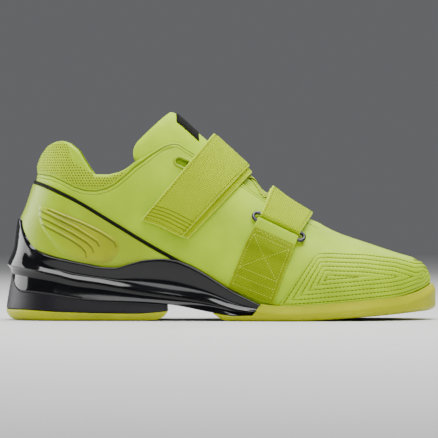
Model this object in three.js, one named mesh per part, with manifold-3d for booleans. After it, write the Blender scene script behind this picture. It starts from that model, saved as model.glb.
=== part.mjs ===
// Weightlifting shoe for the right foot: raised rigid heel, two opposed straps, lace-up throat.
// Millimetres, +X from heel to toe, +Z up, -Y is the outer (lateral) side of the foot.
import * as THREE from 'three';
import Module from 'manifold-3d';
import { mergeVertices } from 'three/addons/utils/BufferGeometryUtils.js';

const wasm = await Module();
wasm.setup();

// Driving sizes
const shoeLength = 295;
const ballWidth = 105;
const heelHeight = 30;
const forefootHeight = 7.5;
const toeSpring = 7;
const upperHeight = 112.4;
const cradleHeight = 39;
const upperWall = 2.4;
const collarPadding = 4.5;
const tongueThickness = 6;
const insoleThickness = 4;
const soleMargin = 4;
const featherTuck = 5;
const cradleFlare = 5;
const rimHeight = 4;
const rimInset = 2.2;
const treadCorner = 3.5;
const overlayThickness = 1.2;
const counterThickness = 1.5;
const pipingWidth = 2.8;
const pipingThickness = 2.1;
const padThickness = 0.9;
const ribHeight = 0.8;
const ribWidth = 2.6;
const ribCount = 3;
const strapLayer = 1.9;
const strapSlit = 0.3;
const webbingThickness = 1.7;
const webbingFold = 11;
const ringWireRadius = 1.2;
const ringWireSpacing = 6.4;
const laceRadius = 1.5;
const laceFlatness = 0.45;
const tongueRoom = 0.4;
const slotRadius = 3.2;
const gap = 0.3;

// Reach of the cutting blocks past the shoe, and steps of the lofted forms
const farAway = 200;
const heelSteps = 5;
const middleSteps = 14;
const toeSteps = 6;
const sideSteps = 2;
const archSteps = 5;
const lineSteps = 18;

// Smooth curve through one column of a table, with no overshoot between its rows.
function column(rows, name) {
  const xs = rows.map(row => row.at);
  const ys = rows.map(row => row[name]);
  const last = xs.length - 1;
  const secants = xs.slice(1).map((x, i) => (ys[i + 1] - ys[i]) / (x - xs[i]));
  const slopes = xs.map((_, i) => {
    if (i === 0) return secants[0];
    if (i === last) return secants[last - 1];
    const [before, after] = [secants[i - 1], secants[i]];
    return before * after <= 0 ? 0 : (2 * before * after) / (before + after);
  });
  return x => {
    if (x <= xs[0]) return ys[0];
    if (x >= xs[last]) return ys[last];
    const i = xs.findIndex(edge => edge > x) - 1;
    const width = xs[i + 1] - xs[i];
    const t = (x - xs[i]) / width;
    const [a, b] = [slopes[i] * width, slopes[i + 1] * width];
    const rise = ys[i + 1] - ys[i];
    return ys[i] + t * (a + t * (3 * rise - 2 * a - b + t * (a + b - 2 * rise)));
  };
}

const along = (rows, name, scale) => {
  const curve = column(rows, name);
  return x => curve(x / shoeLength) * scale;
};
const smooth = t => {
  const c = Math.min(1, Math.max(0, t));
  return c * c * (3 - 2 * c);
};

// Foot bed: share of the heel lift that is left, and share of the toe spring, along the length
const bedRows = [
  { at: 0.0, drop: 1.0, spring: 0.0 },
  { at: 0.12, drop: 1.0, spring: 0.0 },
  { at: 0.24, drop: 0.93, spring: 0.0 },
  { at: 0.36, drop: 0.72, spring: 0.0 },
  { at: 0.48, drop: 0.4, spring: 0.0 },
  { at: 0.57, drop: 0.14, spring: 0.0 },
  { at: 0.66, drop: 0.0, spring: 0.0 },
  { at: 0.83, drop: 0.0, spring: 0.39 },
  { at: 1.0, drop: 0.0, spring: 1.0 },
];
const toeRise = along(bedRows, 'spring', toeSpring);
const heelRise = along(bedRows, 'drop', 1);
const bed = x => forefootHeight + (heelHeight - forefootHeight) * heelRise(x) + toeRise(x);

// Plan of the sole: centre line and half width, in ball widths, before the ends are rounded
const planRows = [
  { at: 0.0, centre: 0.0, half: 0.37 },
  { at: 0.15, centre: 0.0, half: 0.372 },
  { at: 0.28, centre: -0.012, half: 0.36 },
  { at: 0.4, centre: -0.025, half: 0.355 },
  { at: 0.52, centre: -0.03, half: 0.405 },
  { at: 0.64, centre: -0.02, half: 0.485 },
  { at: 0.72, centre: 0.0, half: 0.5 },
  { at: 0.82, centre: 0.03, half: 0.488 },
  { at: 0.91, centre: 0.07, half: 0.46 },
  { at: 1.0, centre: 0.115, half: 0.43 },
];
const planCentre = along(planRows, 'centre', ballWidth);
const planHalf = along(planRows, 'half', ballWidth);
const heelRoundShare = 0.37;
const toeRoundShare = 0.21;
const toeRoundPower = 2.2;
const heelRound = heelRoundShare * ballWidth;
const toeRound = toeRoundShare * shoeLength;

// Stations between two ends, closer together where the plan is rounded.
function stations(back, front) {
  const quarter = Math.PI / 2;
  const [from, to] = [back + heelRound, front - toeRound];
  const xs = [];
  for (let i = 0; i < heelSteps; i++) xs.push(from - heelRound * Math.cos((i / heelSteps) * quarter));
  for (let i = 0; i < middleSteps; i++) xs.push(from + ((to - from) * i) / middleSteps);
  for (let i = 0; i <= toeSteps; i++) xs.push(to + toeRound * Math.sin((i / toeSteps) * quarter));
  return xs;
}

// Share of the half width that is left at x, from the rounding of heel and toe.
function endRounding(x, back, front) {
  const heel = Math.min(1, Math.max(0, (back + heelRound - x) / heelRound));
  const toe = Math.min(1, Math.max(0, (x - front + toeRound) / toeRound));
  return Math.sqrt(1 - heel ** 2) * Math.pow(1 - toe ** toeRoundPower, 1 / 2);
}

// Closed solid through rings of equal count, each ring running from one side over to the other.
function loft(rings) {
  const count = rings[0].length;
  const positions = rings.flat(2);
  const triangles = [];
  const quad = (a, b, c, d) => triangles.push(a, b, c, a, c, d);
  for (let i = 0; i + 1 < rings.length; i++) {
    for (let j = 0; j < count; j++) {
      const k = (j + 1) % count;
      quad(i * count + j, i * count + k, (i + 1) * count + k, (i + 1) * count + j);
    }
  }
  const last = (rings.length - 1) * count;
  for (let j = 0; j < Math.floor(count / 2); j++) {
    const [a, b, c, d] = [j, j + 1, count - 2 - j, count - 1 - j];
    quad(d, c, b, a);
    quad(last + a, last + b, last + c, last + d);
  }
  return solid(positions, triangles);
}

// Manifold solid from loose positions and triangles: merges vertices, drops slivers, turns faces outwards.
function solid(positions, triangles) {
  const geometry = new THREE.BufferGeometry();
  geometry.setAttribute('position', new THREE.BufferAttribute(new Float32Array(positions), 3));
  geometry.setIndex(triangles);
  const merged = mergeVertices(geometry, 1e-3);
  const vertices = merged.attributes.position.array;
  const index = Array.from(merged.index.array);
  const kept = [];
  let volume = 0;
  const [a, b, c] = [new THREE.Vector3(), new THREE.Vector3(), new THREE.Vector3()];
  for (let i = 0; i < index.length; i += 3) {
    const [p, q, r] = index.slice(i, i + 3);
    if (p === q || q === r || r === p) continue;
    kept.push(p, q, r);
    a.fromArray(vertices, 3 * p);
    b.fromArray(vertices, 3 * q);
    c.fromArray(vertices, 3 * r);
    volume += a.dot(b.cross(c));
  }
  if (volume < 0) kept.reverse();
  return new wasm.Manifold(new wasm.Mesh({
    numProp: 3,
    vertProperties: new Float32Array(vertices),
    triVerts: new Uint32Array(kept),
  }));
}

// Manifold solid of a three.js geometry.
function solidOf(geometry) {
  const plain = geometry.index ? geometry.toNonIndexed() : geometry;
  const positions = Array.from(plain.attributes.position.array);
  return solid(positions, positions.slice(0, positions.length / 3).map((_, i) => i));
}

// Block with a given outline in the side view, [x, z] points, between two y values.
function sideBlock(points, yFrom = -farAway, yTo = farAway) {
  const shape = new THREE.Shape(points.map(([x, z]) => new THREE.Vector2(x, z)));
  const geometry = new THREE.ExtrudeGeometry(shape, { depth: yTo - yFrom, bevelEnabled: false });
  geometry.rotateX(Math.PI / 2);
  geometry.translate(0, yTo, 0);
  return solidOf(geometry);
}

// Block with a given outline in the view from above, [x, y] points.
function planBlock(points) {
  const shape = new THREE.Shape(points.map(([x, y]) => new THREE.Vector2(x, y)));
  return solidOf(new THREE.ExtrudeGeometry(shape, { depth: farAway, bevelEnabled: false }));
}

// Points of a height line between two x values, closer together towards its back end.
function linePoints(line, from, to, steps = lineSteps) {
  return Array.from({ length: steps + 1 }, (_, i) => {
    const x = from + (to - from) * Math.pow(i / steps, 1.4);
    return [x, line(x)];
  });
}

// The same line moved upwards at right angles to itself.
function moveLine(points, distance) {
  return points.map((point, i) => {
    const [before, after] = [points[Math.max(0, i - 1)], points[Math.min(points.length - 1, i + 1)]];
    const [dx, dz] = [after[0] - before[0], after[1] - before[1]];
    const length = Math.hypot(dx, dz);
    return [point[0] - (dz / length) * distance, point[1] + (dx / length) * distance];
  });
}

// Blocks of everything over a line of points, or under it.
const above = points => sideBlock([...points, [points.at(-1)[0], farAway], [points[0][0], farAway]]);
const below = points => sideBlock([...points, [points.at(-1)[0], -farAway], [points[0][0], -farAway]]);

// Outline points from rows of shares: along the length, and up from the foot bed in upper heights.
const upperPoints = rows => rows.map(([at, up]) => {
  const x = at * shoeLength;
  return [x, bed(x) + up * upperHeight];
});

// Upper form: the outside of the upper as it sits on the last
const upperBack = 2.4 * soleMargin;
const upperFront = shoeLength - soleMargin;
const formRows = [
  { at: 0.0, inset: 1.150, tuck: 0.80, bulge: 0.125, top: 1.068, fullness: 2.6, crown: 0.0 },
  { at: 0.14, inset: 1.150, tuck: 0.80, bulge: 0.135, top: 1.068, fullness: 2.6, crown: 0.0 },
  { at: 0.25, inset: 1.200, tuck: 0.90, bulge: 0.15, top: 1.082, fullness: 2.5, crown: 0.0 },
  { at: 0.35, inset: 1.150, tuck: 1.10, bulge: 0.17, top: 1.12, fullness: 2.35, crown: 0.01 },
  { at: 0.387, inset: 1.150, tuck: 1.12, bulge: 0.165, top: 1.1, fullness: 2.25, crown: 0.015 },
  { at: 0.457, inset: 1.150, tuck: 1.04, bulge: 0.15, top: 0.988, fullness: 2.1, crown: 0.025 },
  { at: 0.508, inset: 1.100, tuck: 0.92, bulge: 0.14, top: 0.9, fullness: 2.05, crown: 0.03 },
  { at: 0.566, inset: 1.000, tuck: 0.72, bulge: 0.125, top: 0.797, fullness: 2.05, crown: 0.04 },
  { at: 0.6, inset: 0.925, tuck: 0.60, bulge: 0.115, top: 0.735, fullness: 2.05, crown: 0.045 },
  { at: 0.644, inset: 0.850, tuck: 0.56, bulge: 0.105, top: 0.655, fullness: 2.1, crown: 0.05 },
  { at: 0.702, inset: 0.775, tuck: 0.52, bulge: 0.1, top: 0.56, fullness: 2.15, crown: 0.055 },
  { at: 0.766, inset: 0.750, tuck: 0.50, bulge: 0.095, top: 0.457, fullness: 2.25, crown: 0.055 },
  { at: 0.85, inset: 0.750, tuck: 0.48, bulge: 0.085, top: 0.364, fullness: 2.4, crown: 0.045 },
  { at: 0.92, inset: 0.750, tuck: 0.44, bulge: 0.08, top: 0.288, fullness: 2.6, crown: 0.03 },
  { at: 0.95, inset: 0.750, tuck: 0.40, bulge: 0.075, top: 0.256, fullness: 2.7, crown: 0.02 },
  { at: 0.97, inset: 0.750, tuck: 0.36, bulge: 0.06, top: 0.2, fullness: 2.6, crown: 0.01 },
  { at: 0.987, inset: 0.750, tuck: 0.30, bulge: 0.05, top: 0.115, fullness: 2.4, crown: 0.0 },
];
const form = {
  inset: along(formRows, 'inset', soleMargin),
  tuck: along(formRows, 'tuck', featherTuck),
  bulge: along(formRows, 'bulge', upperHeight),
  top: along(formRows, 'top', upperHeight),
  fullness: along(formRows, 'fullness', 1),
  crown: along(formRows, 'crown', ballWidth),
};

// Lean of the back of the heel: how far it lies forward of its rearmost point, by height over the bed,
// both in upper heights
const leanRows = [
  { at: 0.0, lean: 0.0053 },
  { at: 0.16, lean: 0.0000 },
  { at: 0.27, lean: 0.0018 },
  { at: 0.34, lean: 0.0142 },
  { at: 0.41, lean: 0.0436 },
  { at: 0.5, lean: 0.0738 },
  { at: 0.58, lean: 0.0979 },
  { at: 0.67, lean: 0.1103 },
  { at: 0.76, lean: 0.1335 },
  { at: 1.07, lean: 0.2135 },
];
const leanReach = 0.27 * shoeLength;
const leanAt = column(leanRows, 'lean');
const leanFade = x => Math.pow(Math.max(0, 1 - (x - upperBack) / leanReach), 1.5);
const lean = (x, over) => leanAt(over / upperHeight) * upperHeight * leanFade(x);

// Grid of points on the upper form, one row of points per station, lateral feather edge first.
function makeFormGrid() {
  return stations(upperBack, upperFront).map(x => {
    const rounding = endRounding(x, upperBack, upperFront);
    const widest = (planHalf(x) - form.inset(x)) * rounding;
    const feather = (planHalf(x) - form.inset(x) - form.tuck(x)) * rounding;
    const half = [];
    for (let i = 0; i < sideSteps; i++) {
      const t = i / sideSteps;
      half.push([feather + (widest - feather) * Math.sin((t * Math.PI) / 2), form.bulge(x) * t, 0]);
    }
    for (let i = 0; i <= archSteps; i++) {
      const angle = ((i / archSteps) * Math.PI) / 2;
      const power = 2 / form.fullness(x);
      const rise = Math.pow(Math.sin(angle), power);
      const reach = i === archSteps ? 0 : Math.pow(Math.cos(angle), power);
      half.push([widest * reach, form.bulge(x) + (form.top(x) - form.bulge(x)) * rise, rise * rise]);
    }
    const place = side => ([y, over, rise]) =>
      new THREE.Vector3(x + lean(x, over), planCentre(x) + side * y + form.crown(x) * rise, bed(x) + over);
    return [...half.map(place(-1)), ...half.slice(0, -1).reverse().map(place(1))];
  });
}
const formGrid = makeFormGrid();
const ringSize = formGrid[0].length;

// Outward unit normals of the form grid.
function makeFormNormals() {
  const lastRow = formGrid.length - 1;
  const normals = formGrid.map((row, i) => row.map((_, j) => {
    const mirror = ringSize - 1 - j;
    const before = i === 0 ? formGrid[1][mirror] : formGrid[i - 1][j];
    const after = i === lastRow ? formGrid[lastRow - 1][mirror] : formGrid[i + 1][j];
    const lower = row[Math.max(0, j - 1)];
    const upper = row[Math.min(ringSize - 1, j + 1)];
    const across = new THREE.Vector3().subVectors(upper, lower);
    const onward = new THREE.Vector3().subVectors(after, before);
    return new THREE.Vector3().crossVectors(onward, across).normalize();
  }));
  const apex = (ringSize - 1) / 2;
  for (const i of [0, lastRow]) {
    normals[i][apex] = new THREE.Vector3(i === 0 ? -1 : 1, 0, 1).normalize();
  }
  return normals;
}
const formNormals = makeFormNormals();

// Solid of the form moved outwards by a distance or a function of the point, down to a depth under the bed.
function formSolid(offset, depth = 0) {
  const distance = typeof offset === 'function' ? offset : () => offset;
  const rings = formGrid.map((row, i) => {
    const moved = row.map((point, j) =>
      point.clone().addScaledVector(formNormals[i][j], distance(point)).toArray());
    const foot = end => [end[0], end[1], bed(row[0].x) - depth];
    return [foot(moved[0]), ...moved, foot(moved[ringSize - 1])];
  });
  return loft(rings);
}
const shell = (inner, outer) => formSolid(outer, farAway / 10).subtract(formSolid(inner, farAway / 5));

// Point and outward normal on the form, seen from one side at a place in the side view.
function onForm(x, z, side) {
  let best = { distance: Infinity };
  formGrid.forEach((row, i) => row.forEach((point, j) => {
    const onSide = side < 0 ? j < (ringSize - 1) / 2 : j > (ringSize - 1) / 2;
    const distance = Math.hypot(point.x - x, point.z - z);
    if (onSide && distance < best.distance) best = { distance, i, j };
  }));
  const [point, normal] = [formGrid[best.i][best.j], formNormals[best.i][best.j]];
  const y = point.y - (normal.x * (x - point.x) + normal.z * (z - point.z)) / normal.y;
  return { point: new THREE.Vector3(x, y, z), normal };
}

// Lines of the sole in the side view, in heel heights
const cradleTopRows = [
  { at: -0.02, up: 2.4 },
  { at: 0.029, up: 2.3 },
  { at: 0.034, up: 2.1 },
  { at: 0.042, up: 1.87 },
  { at: 0.056, up: 1.66 },
  { at: 0.073, up: 1.56 },
  { at: 0.1, up: 1.457 },
  { at: 0.135, up: 1.38 },
  { at: 0.182, up: 1.287 },
  { at: 0.22, up: 1.217 },
  { at: 0.252, up: 1.207 },
  { at: 0.288, up: 1.3 },
  { at: 0.324, up: 1.387 },
  { at: 0.36, up: 1.41 },
  { at: 0.388, up: 1.38 },
  { at: 0.417, up: 1.283 },
  { at: 0.452, up: 1.11 },
  { at: 0.488, up: 0.897 },
  { at: 0.523, up: 0.687 },
  { at: 0.552, up: 0.547 },
  { at: 0.589, up: 0.373 },
];
const cradleBottomRows = [
  { at: -0.02, up: 1.08 },
  { at: 0.012, up: 1.02 },
  { at: 0.019, up: 0.85 },
  { at: 0.029, up: 0.71 },
  { at: 0.041, up: 0.65 },
  { at: 0.06, up: 0.64 },
  { at: 0.205, up: 0.46 },
  { at: 0.305, up: 0.427 },
  { at: 0.376, up: 0.377 },
  { at: 0.48, up: 0.193 },
  { at: 0.53, up: 0.125 },
  { at: 0.57, up: 0.14 },
];
const ridgeRows = [
  { at: 0.0, up: 1.27 },
  { at: 0.049, up: 1.19 },
  { at: 0.12, up: 1.06 },
  { at: 0.16, up: 0.96 },
  { at: 0.215, up: 0.88 },
  { at: 0.305, up: 0.723 },
  { at: 0.464, up: 0.477 },
  { at: 0.542, up: 0.26 },
  { at: 0.6, up: 0.2 },
];
const liftTopRows = [
  { at: -0.02, up: 0.25 },
  { at: 0.03, up: 0.25 },
  { at: 0.134, up: 0.2 },
  { at: 0.3, up: 0.165 },
  { at: 0.36, up: 0.205 },
  { at: 0.39, up: 0.25 },
];
const cradleTop = along(cradleTopRows, 'up', heelHeight);
const cradleBottom = along(cradleBottomRows, 'up', heelHeight);
const ridge = along(ridgeRows, 'up', heelHeight);
const liftTop = along(liftTopRows, 'up', heelHeight);
const heelEnd = -0.017 * shoeLength;
const heelFront = 0.376 * shoeLength;
const cradleTip = 0.589 * shoeLength;
const cradleTipUnder = 0.57 * shoeLength;
const forefootBack = 0.48 * shoeLength;
const cradleTopLine = linePoints(cradleTop, heelEnd, cradleTip);
const cradleBottomLine = linePoints(cradleBottom, heelEnd, cradleTipUnder);
const liftLine = linePoints(liftTop, heelEnd, heelFront, 9);

// Rim of the forefoot sole over the foot bed, in rim heights
const rimRows = [
  { at: 0.55, up: 0.5 },
  { at: 0.6, up: 0.55 },
  { at: 0.675, up: 0.8 },
  { at: 0.77, up: 0.88 },
  { at: 0.86, up: 1.02 },
  { at: 0.92, up: 1.12 },
  { at: 0.952, up: 1.52 },
  { at: 0.976, up: 2.1 },
  { at: 1.0, up: 2.9 },
];
const rimUp = along(rimRows, 'up', rimHeight);
const rim = x => bed(x) + rimUp(x);
const overRim = linePoints(x => rim(x + 2 * rimInset) + 2 * gap, 0.5 * shoeLength, shoeLength + 10);

// Levels of the rear sole from floor to cradle edge: height in ridge heights up to the ridge,
// then in shares of the way from ridge to edge, with insets, in flares, at the back and at the sides
const rearLevels = [
  { ridge: 0.0, edge: 0.0, back: 1.20, sides: 0.60 },
  { ridge: 0.06, edge: 0.0, back: 0.44, sides: 0.16 },
  { ridge: 0.17, edge: 0.0, back: 0.00, sides: 0.00 },
  { ridge: 0.5, edge: 0.0, back: 0.32, sides: 0.36 },
  { ridge: 0.84, edge: 0.0, back: 0.72, sides: 0.68 },
  { ridge: 0.94, edge: 0.0, back: 0.52, sides: 0.48 },
  { ridge: 1.0, edge: 0.0, back: 0.14, sides: 0.00 },
  { ridge: 1.0, edge: 0.12, back: 0.44, sides: 0.22 },
  { ridge: 1.0, edge: 0.35, back: 1.04, sides: 0.46 },
  { ridge: 1.0, edge: 0.7, back: 1.32, sides: 0.38 },
  { ridge: 1.0, edge: 1.15, back: 1.76, sides: 0.30 },
];
const backInsetReach = 0.13 * shoeLength;

// Plan point of the sole outline moved inwards, on one side, at a station.
function outlinePoint(x, side, inset) {
  const step = 0.5;
  const halfAt = at => planHalf(at) * endRounding(at, 0, shoeLength);
  const half = halfAt(x);
  if (half < step) return [x < shoeLength / 2 ? x + inset : x - inset, planCentre(x)];
  const [a, b] = [Math.max(0, x - step), Math.min(shoeLength, x + step)];
  const slope = (halfAt(b) - halfAt(a)) / (b - a);
  const length = Math.hypot(1, slope);
  return [x + (inset * slope) / length, planCentre(x) + side * Math.max(0, half - inset / length)];
}

// Loft of a sole between levels, each a height line and an inset.
function soleSolid(xs, levels) {
  return loft(xs.map(x => {
    const side = sign => levels.map(level => [...outlinePoint(x, sign, level.inset(x)), level.height(x)]);
    return [...side(-1), ...side(1).reverse()];
  }));
}

function rearSole() {
  const levels = rearLevels.map(row => ({
    inset: x => {
      const nearBack = smooth(1 - x / backInsetReach);
      return (row.sides + (row.back - row.sides) * nearBack) * cradleFlare;
    },
    height: x => row.ridge * ridge(x) + row.edge * (Math.max(cradleTop(x), ridge(x)) - ridge(x)),
  }));
  return soleSolid(stations(0, shoeLength), levels);
}

function frontSole() {
  const levels = [
    { inset: () => treadCorner, height: x => toeRise(x) },
    { inset: () => treadCorner / 4, height: x => toeRise(x) + treadCorner / 3 },
    { inset: () => 0, height: x => toeRise(x) + treadCorner },
    { inset: () => rimInset * 0.1, height: x => (toeRise(x) + treadCorner + rim(x)) / 2 },
    { inset: () => rimInset * 0.4, height: x => rim(x) - rimHeight / 4 },
    { inset: () => rimInset, height: x => rim(x) },
  ];
  return soleSolid(stations(0, shoeLength), levels);
}

const rear = rearSole();
const front = frontSole();
const upperRoom = formSolid(gap, gap);

// Rigid cradle: heel cup and shank in one moulding.
function heelCradle() {
  const outline = [...cradleBottomLine, ...cradleTopLine.toReversed()];
  return rear.intersect(sideBlock(outline)).subtract(upperRoom);
}

// Matt heel block under the cradle.
function heelBlock() {
  const length = below([[heelEnd, farAway], [heelFront - gap, farAway]]);
  return rear
    .intersect(length)
    .intersect(above(moveLine(liftLine, gap)))
    .intersect(below(moveLine(cradleBottomLine, -gap)));
}

// Rubber top lift that the heel stands on, with its front end rounded off to the floor.
function heelLift() {
  const endRows = [[0, 1], [-0.008, 0.55], [-0.022, 0.22], [-0.045, 0]];
  const end = endRows.map(([back, up]) => [heelFront + back * shoeLength, up * liftTop(heelFront)]);
  const outline = [...liftLine, ...end, [heelEnd, 0]];
  return rear.intersect(sideBlock(outline));
}

// Rubber forefoot sole with its rim, running under the tip of the cradle as a wedge.
function forefootSole() {
  const wedge = moveLine(cradleBottomLine, -gap).filter(([x]) => x > forefootBack);
  const wedgeFront = 0.03 * shoeLength;
  const outline = [
    [forefootBack + wedgeFront, -1],
    [forefootBack + wedgeFront, 0],
    ...wedge,
    [cradleTipUnder + gap, cradleBottom(cradleTipUnder) - gap],
    [cradleTip + 2 * gap, cradleTop(cradleTip)],
    [cradleTip + 1, farAway],
    [shoeLength + 10, farAway],
    [shoeLength + 10, -1],
  ];
  return front.intersect(sideBlock(outline)).subtract(upperRoom);
}

// Collar and throat opening in the side view: everything above this line is open
const openingRows = [
  [0.0, 0.62], [0.0725, 0.665], [0.0865, 0.752], [0.099, 0.798], [0.115, 0.82], [0.132, 0.827],
  [0.148, 0.815], [0.17, 0.772], [0.184, 0.713], [0.197, 0.66], [0.207, 0.631], [0.241, 0.635],
  [0.265, 0.655], [0.283, 0.686], [0.298, 0.724], [0.322, 0.767], [0.355, 0.835], [0.371, 0.865],
  [0.387, 0.884], [0.403, 0.886], [0.4135, 0.872], [0.532, 0.748], [0.599, 0.66], [0.63, 0.55],
  [0.74, 0.4], [0.74, 1.6], [0.0, 1.6],
];

// Half width of the opening seen from above, in ball widths: wide at the collar, round at its front end
const throatRows = [
  [0.0, 0.8], [0.59, 0.8], [0.6, 0.205], [0.64, 0.165], [0.68, 0.125], [0.705, 0.1], [0.721, 0.07],
  [0.729, 0.035], [0.731, 0.0],
];
const slotEnds = [[0.402, 0.775], [0.45, 0.745]];

// Block of the opening of collar and throat.
function opening() {
  const edge = side => throatRows.map(([at, half]) => {
    const x = at * shoeLength;
    return [x, planCentre(x) + form.crown(x) * 0.8 + side * half * ballWidth];
  });
  const plan = planBlock([...edge(-1), ...edge(1).slice(0, -1).toReversed()]);
  return sideBlock(upperPoints(openingRows)).intersect(plan);
}

// Oblong lacing slot near the top of the eyestay.
function lacingSlot() {
  const [a, b] = upperPoints(slotEnds).map(([x, z]) => new THREE.Vector2(x, z));
  const angle = Math.atan2(b.y - a.y, b.x - a.x);
  const shape = new THREE.Shape();
  shape.absarc(a.x, a.y, slotRadius, angle + Math.PI / 2, angle - Math.PI / 2, false);
  shape.absarc(b.x, b.y, slotRadius, angle - Math.PI / 2, angle + Math.PI / 2, false);
  return sideBlock(shape.getPoints(6).map(p => [p.x, p.y]));
}

// One hollow upper, padded inside the collar, open at collar and throat and underneath.
function upper() {
  const padded = point => {
    const over = (point.z - bed(point.x)) / upperHeight;
    const high = smooth((over - 0.4) / 0.2);
    const behind = 1 - smooth((point.x / shoeLength - 0.2) / 0.065);
    return -(upperWall + collarPadding * high * behind);
  };
  return formSolid(0)
    .subtract(formSolid(padded, heelHeight))
    .subtract(opening())
    .subtract(lacingSlot());
}

// Line of the piping: from the back of the heel down to the cradle
const pipingRows = [
  { at: 0.0, up: 3.3 },
  { at: 0.073, up: 3.13 },
  { at: 0.145, up: 2.825 },
  { at: 0.252, up: 2.207 },
  { at: 0.334, up: 1.72 },
  { at: 0.42, up: 1.25 },
];
const piping = along(pipingRows, 'up', heelHeight);

const pipingLine = linePoints(piping, heelEnd, 0.43 * shoeLength, 12);
const overCradle = above(moveLine(cradleTopLine, 2 * gap));

function heelCounter() {
  return shell(gap, gap + counterThickness)
    .intersect(overCradle)
    .intersect(below(moveLine(pipingLine, -pipingWidth / 2 - gap)));
}

function heelPiping() {
  return shell(gap, pipingThickness)
    .intersect(overCradle)
    .intersect(above(moveLine(pipingLine, -pipingWidth / 2)))
    .intersect(below(moveLine(pipingLine, pipingWidth / 2)));
}

// Moulded pad on each side of the heel with plain ribs along it
const padRows = [
  [0.087, 0.455], [0.2, 0.345], [0.255, 0.25], [0.262, 0.2], [0.246, 0.135], [0.225, 0.118],
  [0.15, 0.13], [0.108, 0.19], [0.085, 0.36],
];
const ribStart = [0.098, 0.425];
const ribEnd = [0.215, 0.232];
const ribSpacing = 0.052;

function heelPad(side) {
  const [from, to] = side < 0 ? [-farAway, 0] : [0, farAway];
  const base = gap + counterThickness + gap;
  const pad = shell(base, base + padThickness).intersect(sideBlock(upperPoints(padRows), from, to));
  const ribShell = shell(base, base + padThickness + ribHeight);
  const ribs = Array.from({ length: ribCount }, (_, i) => {
    const shorter = 0.012 * i;
    const [[ax, az], [bx, bz]] = upperPoints([
      [ribStart[0] + shorter / 2, ribStart[1] - ribSpacing * i],
      [ribEnd[0] - shorter, ribEnd[1] - ribSpacing * i * 0.55],
    ]);
    const length = Math.hypot(bx - ax, bz - az);
    const [nx, nz] = [((az - bz) / length) * ribWidth / 2, ((bx - ax) / length) * ribWidth / 2];
    return ribShell.intersect(sideBlock(
      [[ax - nx, az - nz], [bx - nx, bz - nz], [bx + nx, bz + nz], [ax + nx, az + nz]], from, to));
  });
  const padRoom = sideBlock(upperPoints(padRows), from, to);
  return ribs.reduce((whole, rib) => whole.add(rib.intersect(padRoom)), pad);
}

// Stitched overlay on each side of the forefoot, leaving a bare strip over the toe
const overlayRows = [
  [0.633, -0.2], [0.635, 0.04], [0.654, 0.11], [0.682, 0.22], [0.706, 0.305], [0.722, 0.335], [0.745, 0.337],
  [0.83, 0.31], [0.9, 0.272], [0.945, 0.232], [1.02, 0.2], [1.02, -0.2],
];
const toeStripHalf = 0.048 * ballWidth;

function toeOverlay(side) {
  const centre = planCentre(upperFront);
  const [from, to] = side < 0 ? [-farAway, centre - toeStripHalf] : [centre + toeStripHalf, farAway];
  return shell(gap, gap + overlayThickness)
    .intersect(sideBlock(upperPoints(overlayRows), from, to))
    .intersect(above(overRim));
}

// Padded tongue with wings round the front of the ankle, inside the eyestays.
const tongueRows = [
  [0.2936, 0.785], [0.3, 0.735], [0.308, 0.7], [0.37, 0.62], [0.5, 0.52], [0.62, 0.4], [0.73, 0.36],
  [0.76, 0.4], [0.76, 0.9], [0.43, 1.25], [0.393, 1.09], [0.385, 1.068], [0.3766, 1.063], [0.3668, 1.048],
  [0.3475, 0.993], [0.3244, 0.924], [0.305, 0.866], [0.2966, 0.828],
];

function tongue() {
  const outside = upperWall + tongueRoom;
  return shell(-outside - tongueThickness, -outside).intersect(sideBlock(upperPoints(tongueRows)));
}

function insole() {
  const slab = loft(stations(0, shoeLength).map(x => [
    [x, -farAway, bed(x)], [x, -farAway, bed(x) + insoleThickness],
    [x, farAway, bed(x) + insoleThickness], [x, farAway, bed(x)],
  ]));
  return formSolid(-upperWall - 2 * gap, farAway / 10).intersect(slab);
}

// Rectangular wire loops that the straps turn back through: ends of the centre line in the side view
const strapBase = 0.4;
const strapTotal = 2 * strapLayer + strapSlit;
const ringLift = strapBase + strapTotal / 2;

// Frame of a ring: its middle, direction along the bars, up the shoe's side, and outwards.
function ringFrame(ends, side) {
  const [a, b] = upperPoints(ends).map(([x, z]) => onForm(x, z, side));
  const middle = onForm((a.point.x + b.point.x) / 2, (a.point.z + b.point.z) / 2, side);
  const bar = new THREE.Vector3().subVectors(b.point, a.point);
  const length = bar.length();
  bar.normalize();
  const out = middle.normal.clone().addScaledVector(bar, -middle.normal.dot(bar)).normalize();
  const up = new THREE.Vector3().crossVectors(out, bar);
  if (up.z < 0) up.negate();
  return { centre: middle.point.clone().addScaledVector(out, ringLift), bar, up, out, length };
}

const placeAt = (frame, bar, up, out) => frame.centre.clone()
  .addScaledVector(frame.bar, bar)
  .addScaledVector(frame.up, up)
  .addScaledVector(frame.out, out);

// Closed tube along a loop of points with a frame normal.
function wireLoop(points, normal, radius, sides = 6) {
  const count = points.length;
  const positions = [];
  const triangles = [];
  points.forEach((point, i) => {
    const onward = points[(i + 1) % count].clone().sub(points[(i + count - 1) % count]).normalize();
    const across = new THREE.Vector3().crossVectors(onward, normal);
    for (let j = 0; j < sides; j++) {
      const angle = (j / sides) * Math.PI * 2;
      const at = point.clone()
        .addScaledVector(across, Math.cos(angle) * radius)
        .addScaledVector(normal, Math.sin(angle) * radius);
      positions.push(...at.toArray());
      const [k, next] = [(j + 1) % sides, (i + 1) % count];
      const [a, b, c, d] = [i * sides + j, i * sides + k, next * sides + k, next * sides + j];
      triangles.push(a, b, c, a, c, d);
    }
  });
  return solid(positions, triangles);
}

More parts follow.
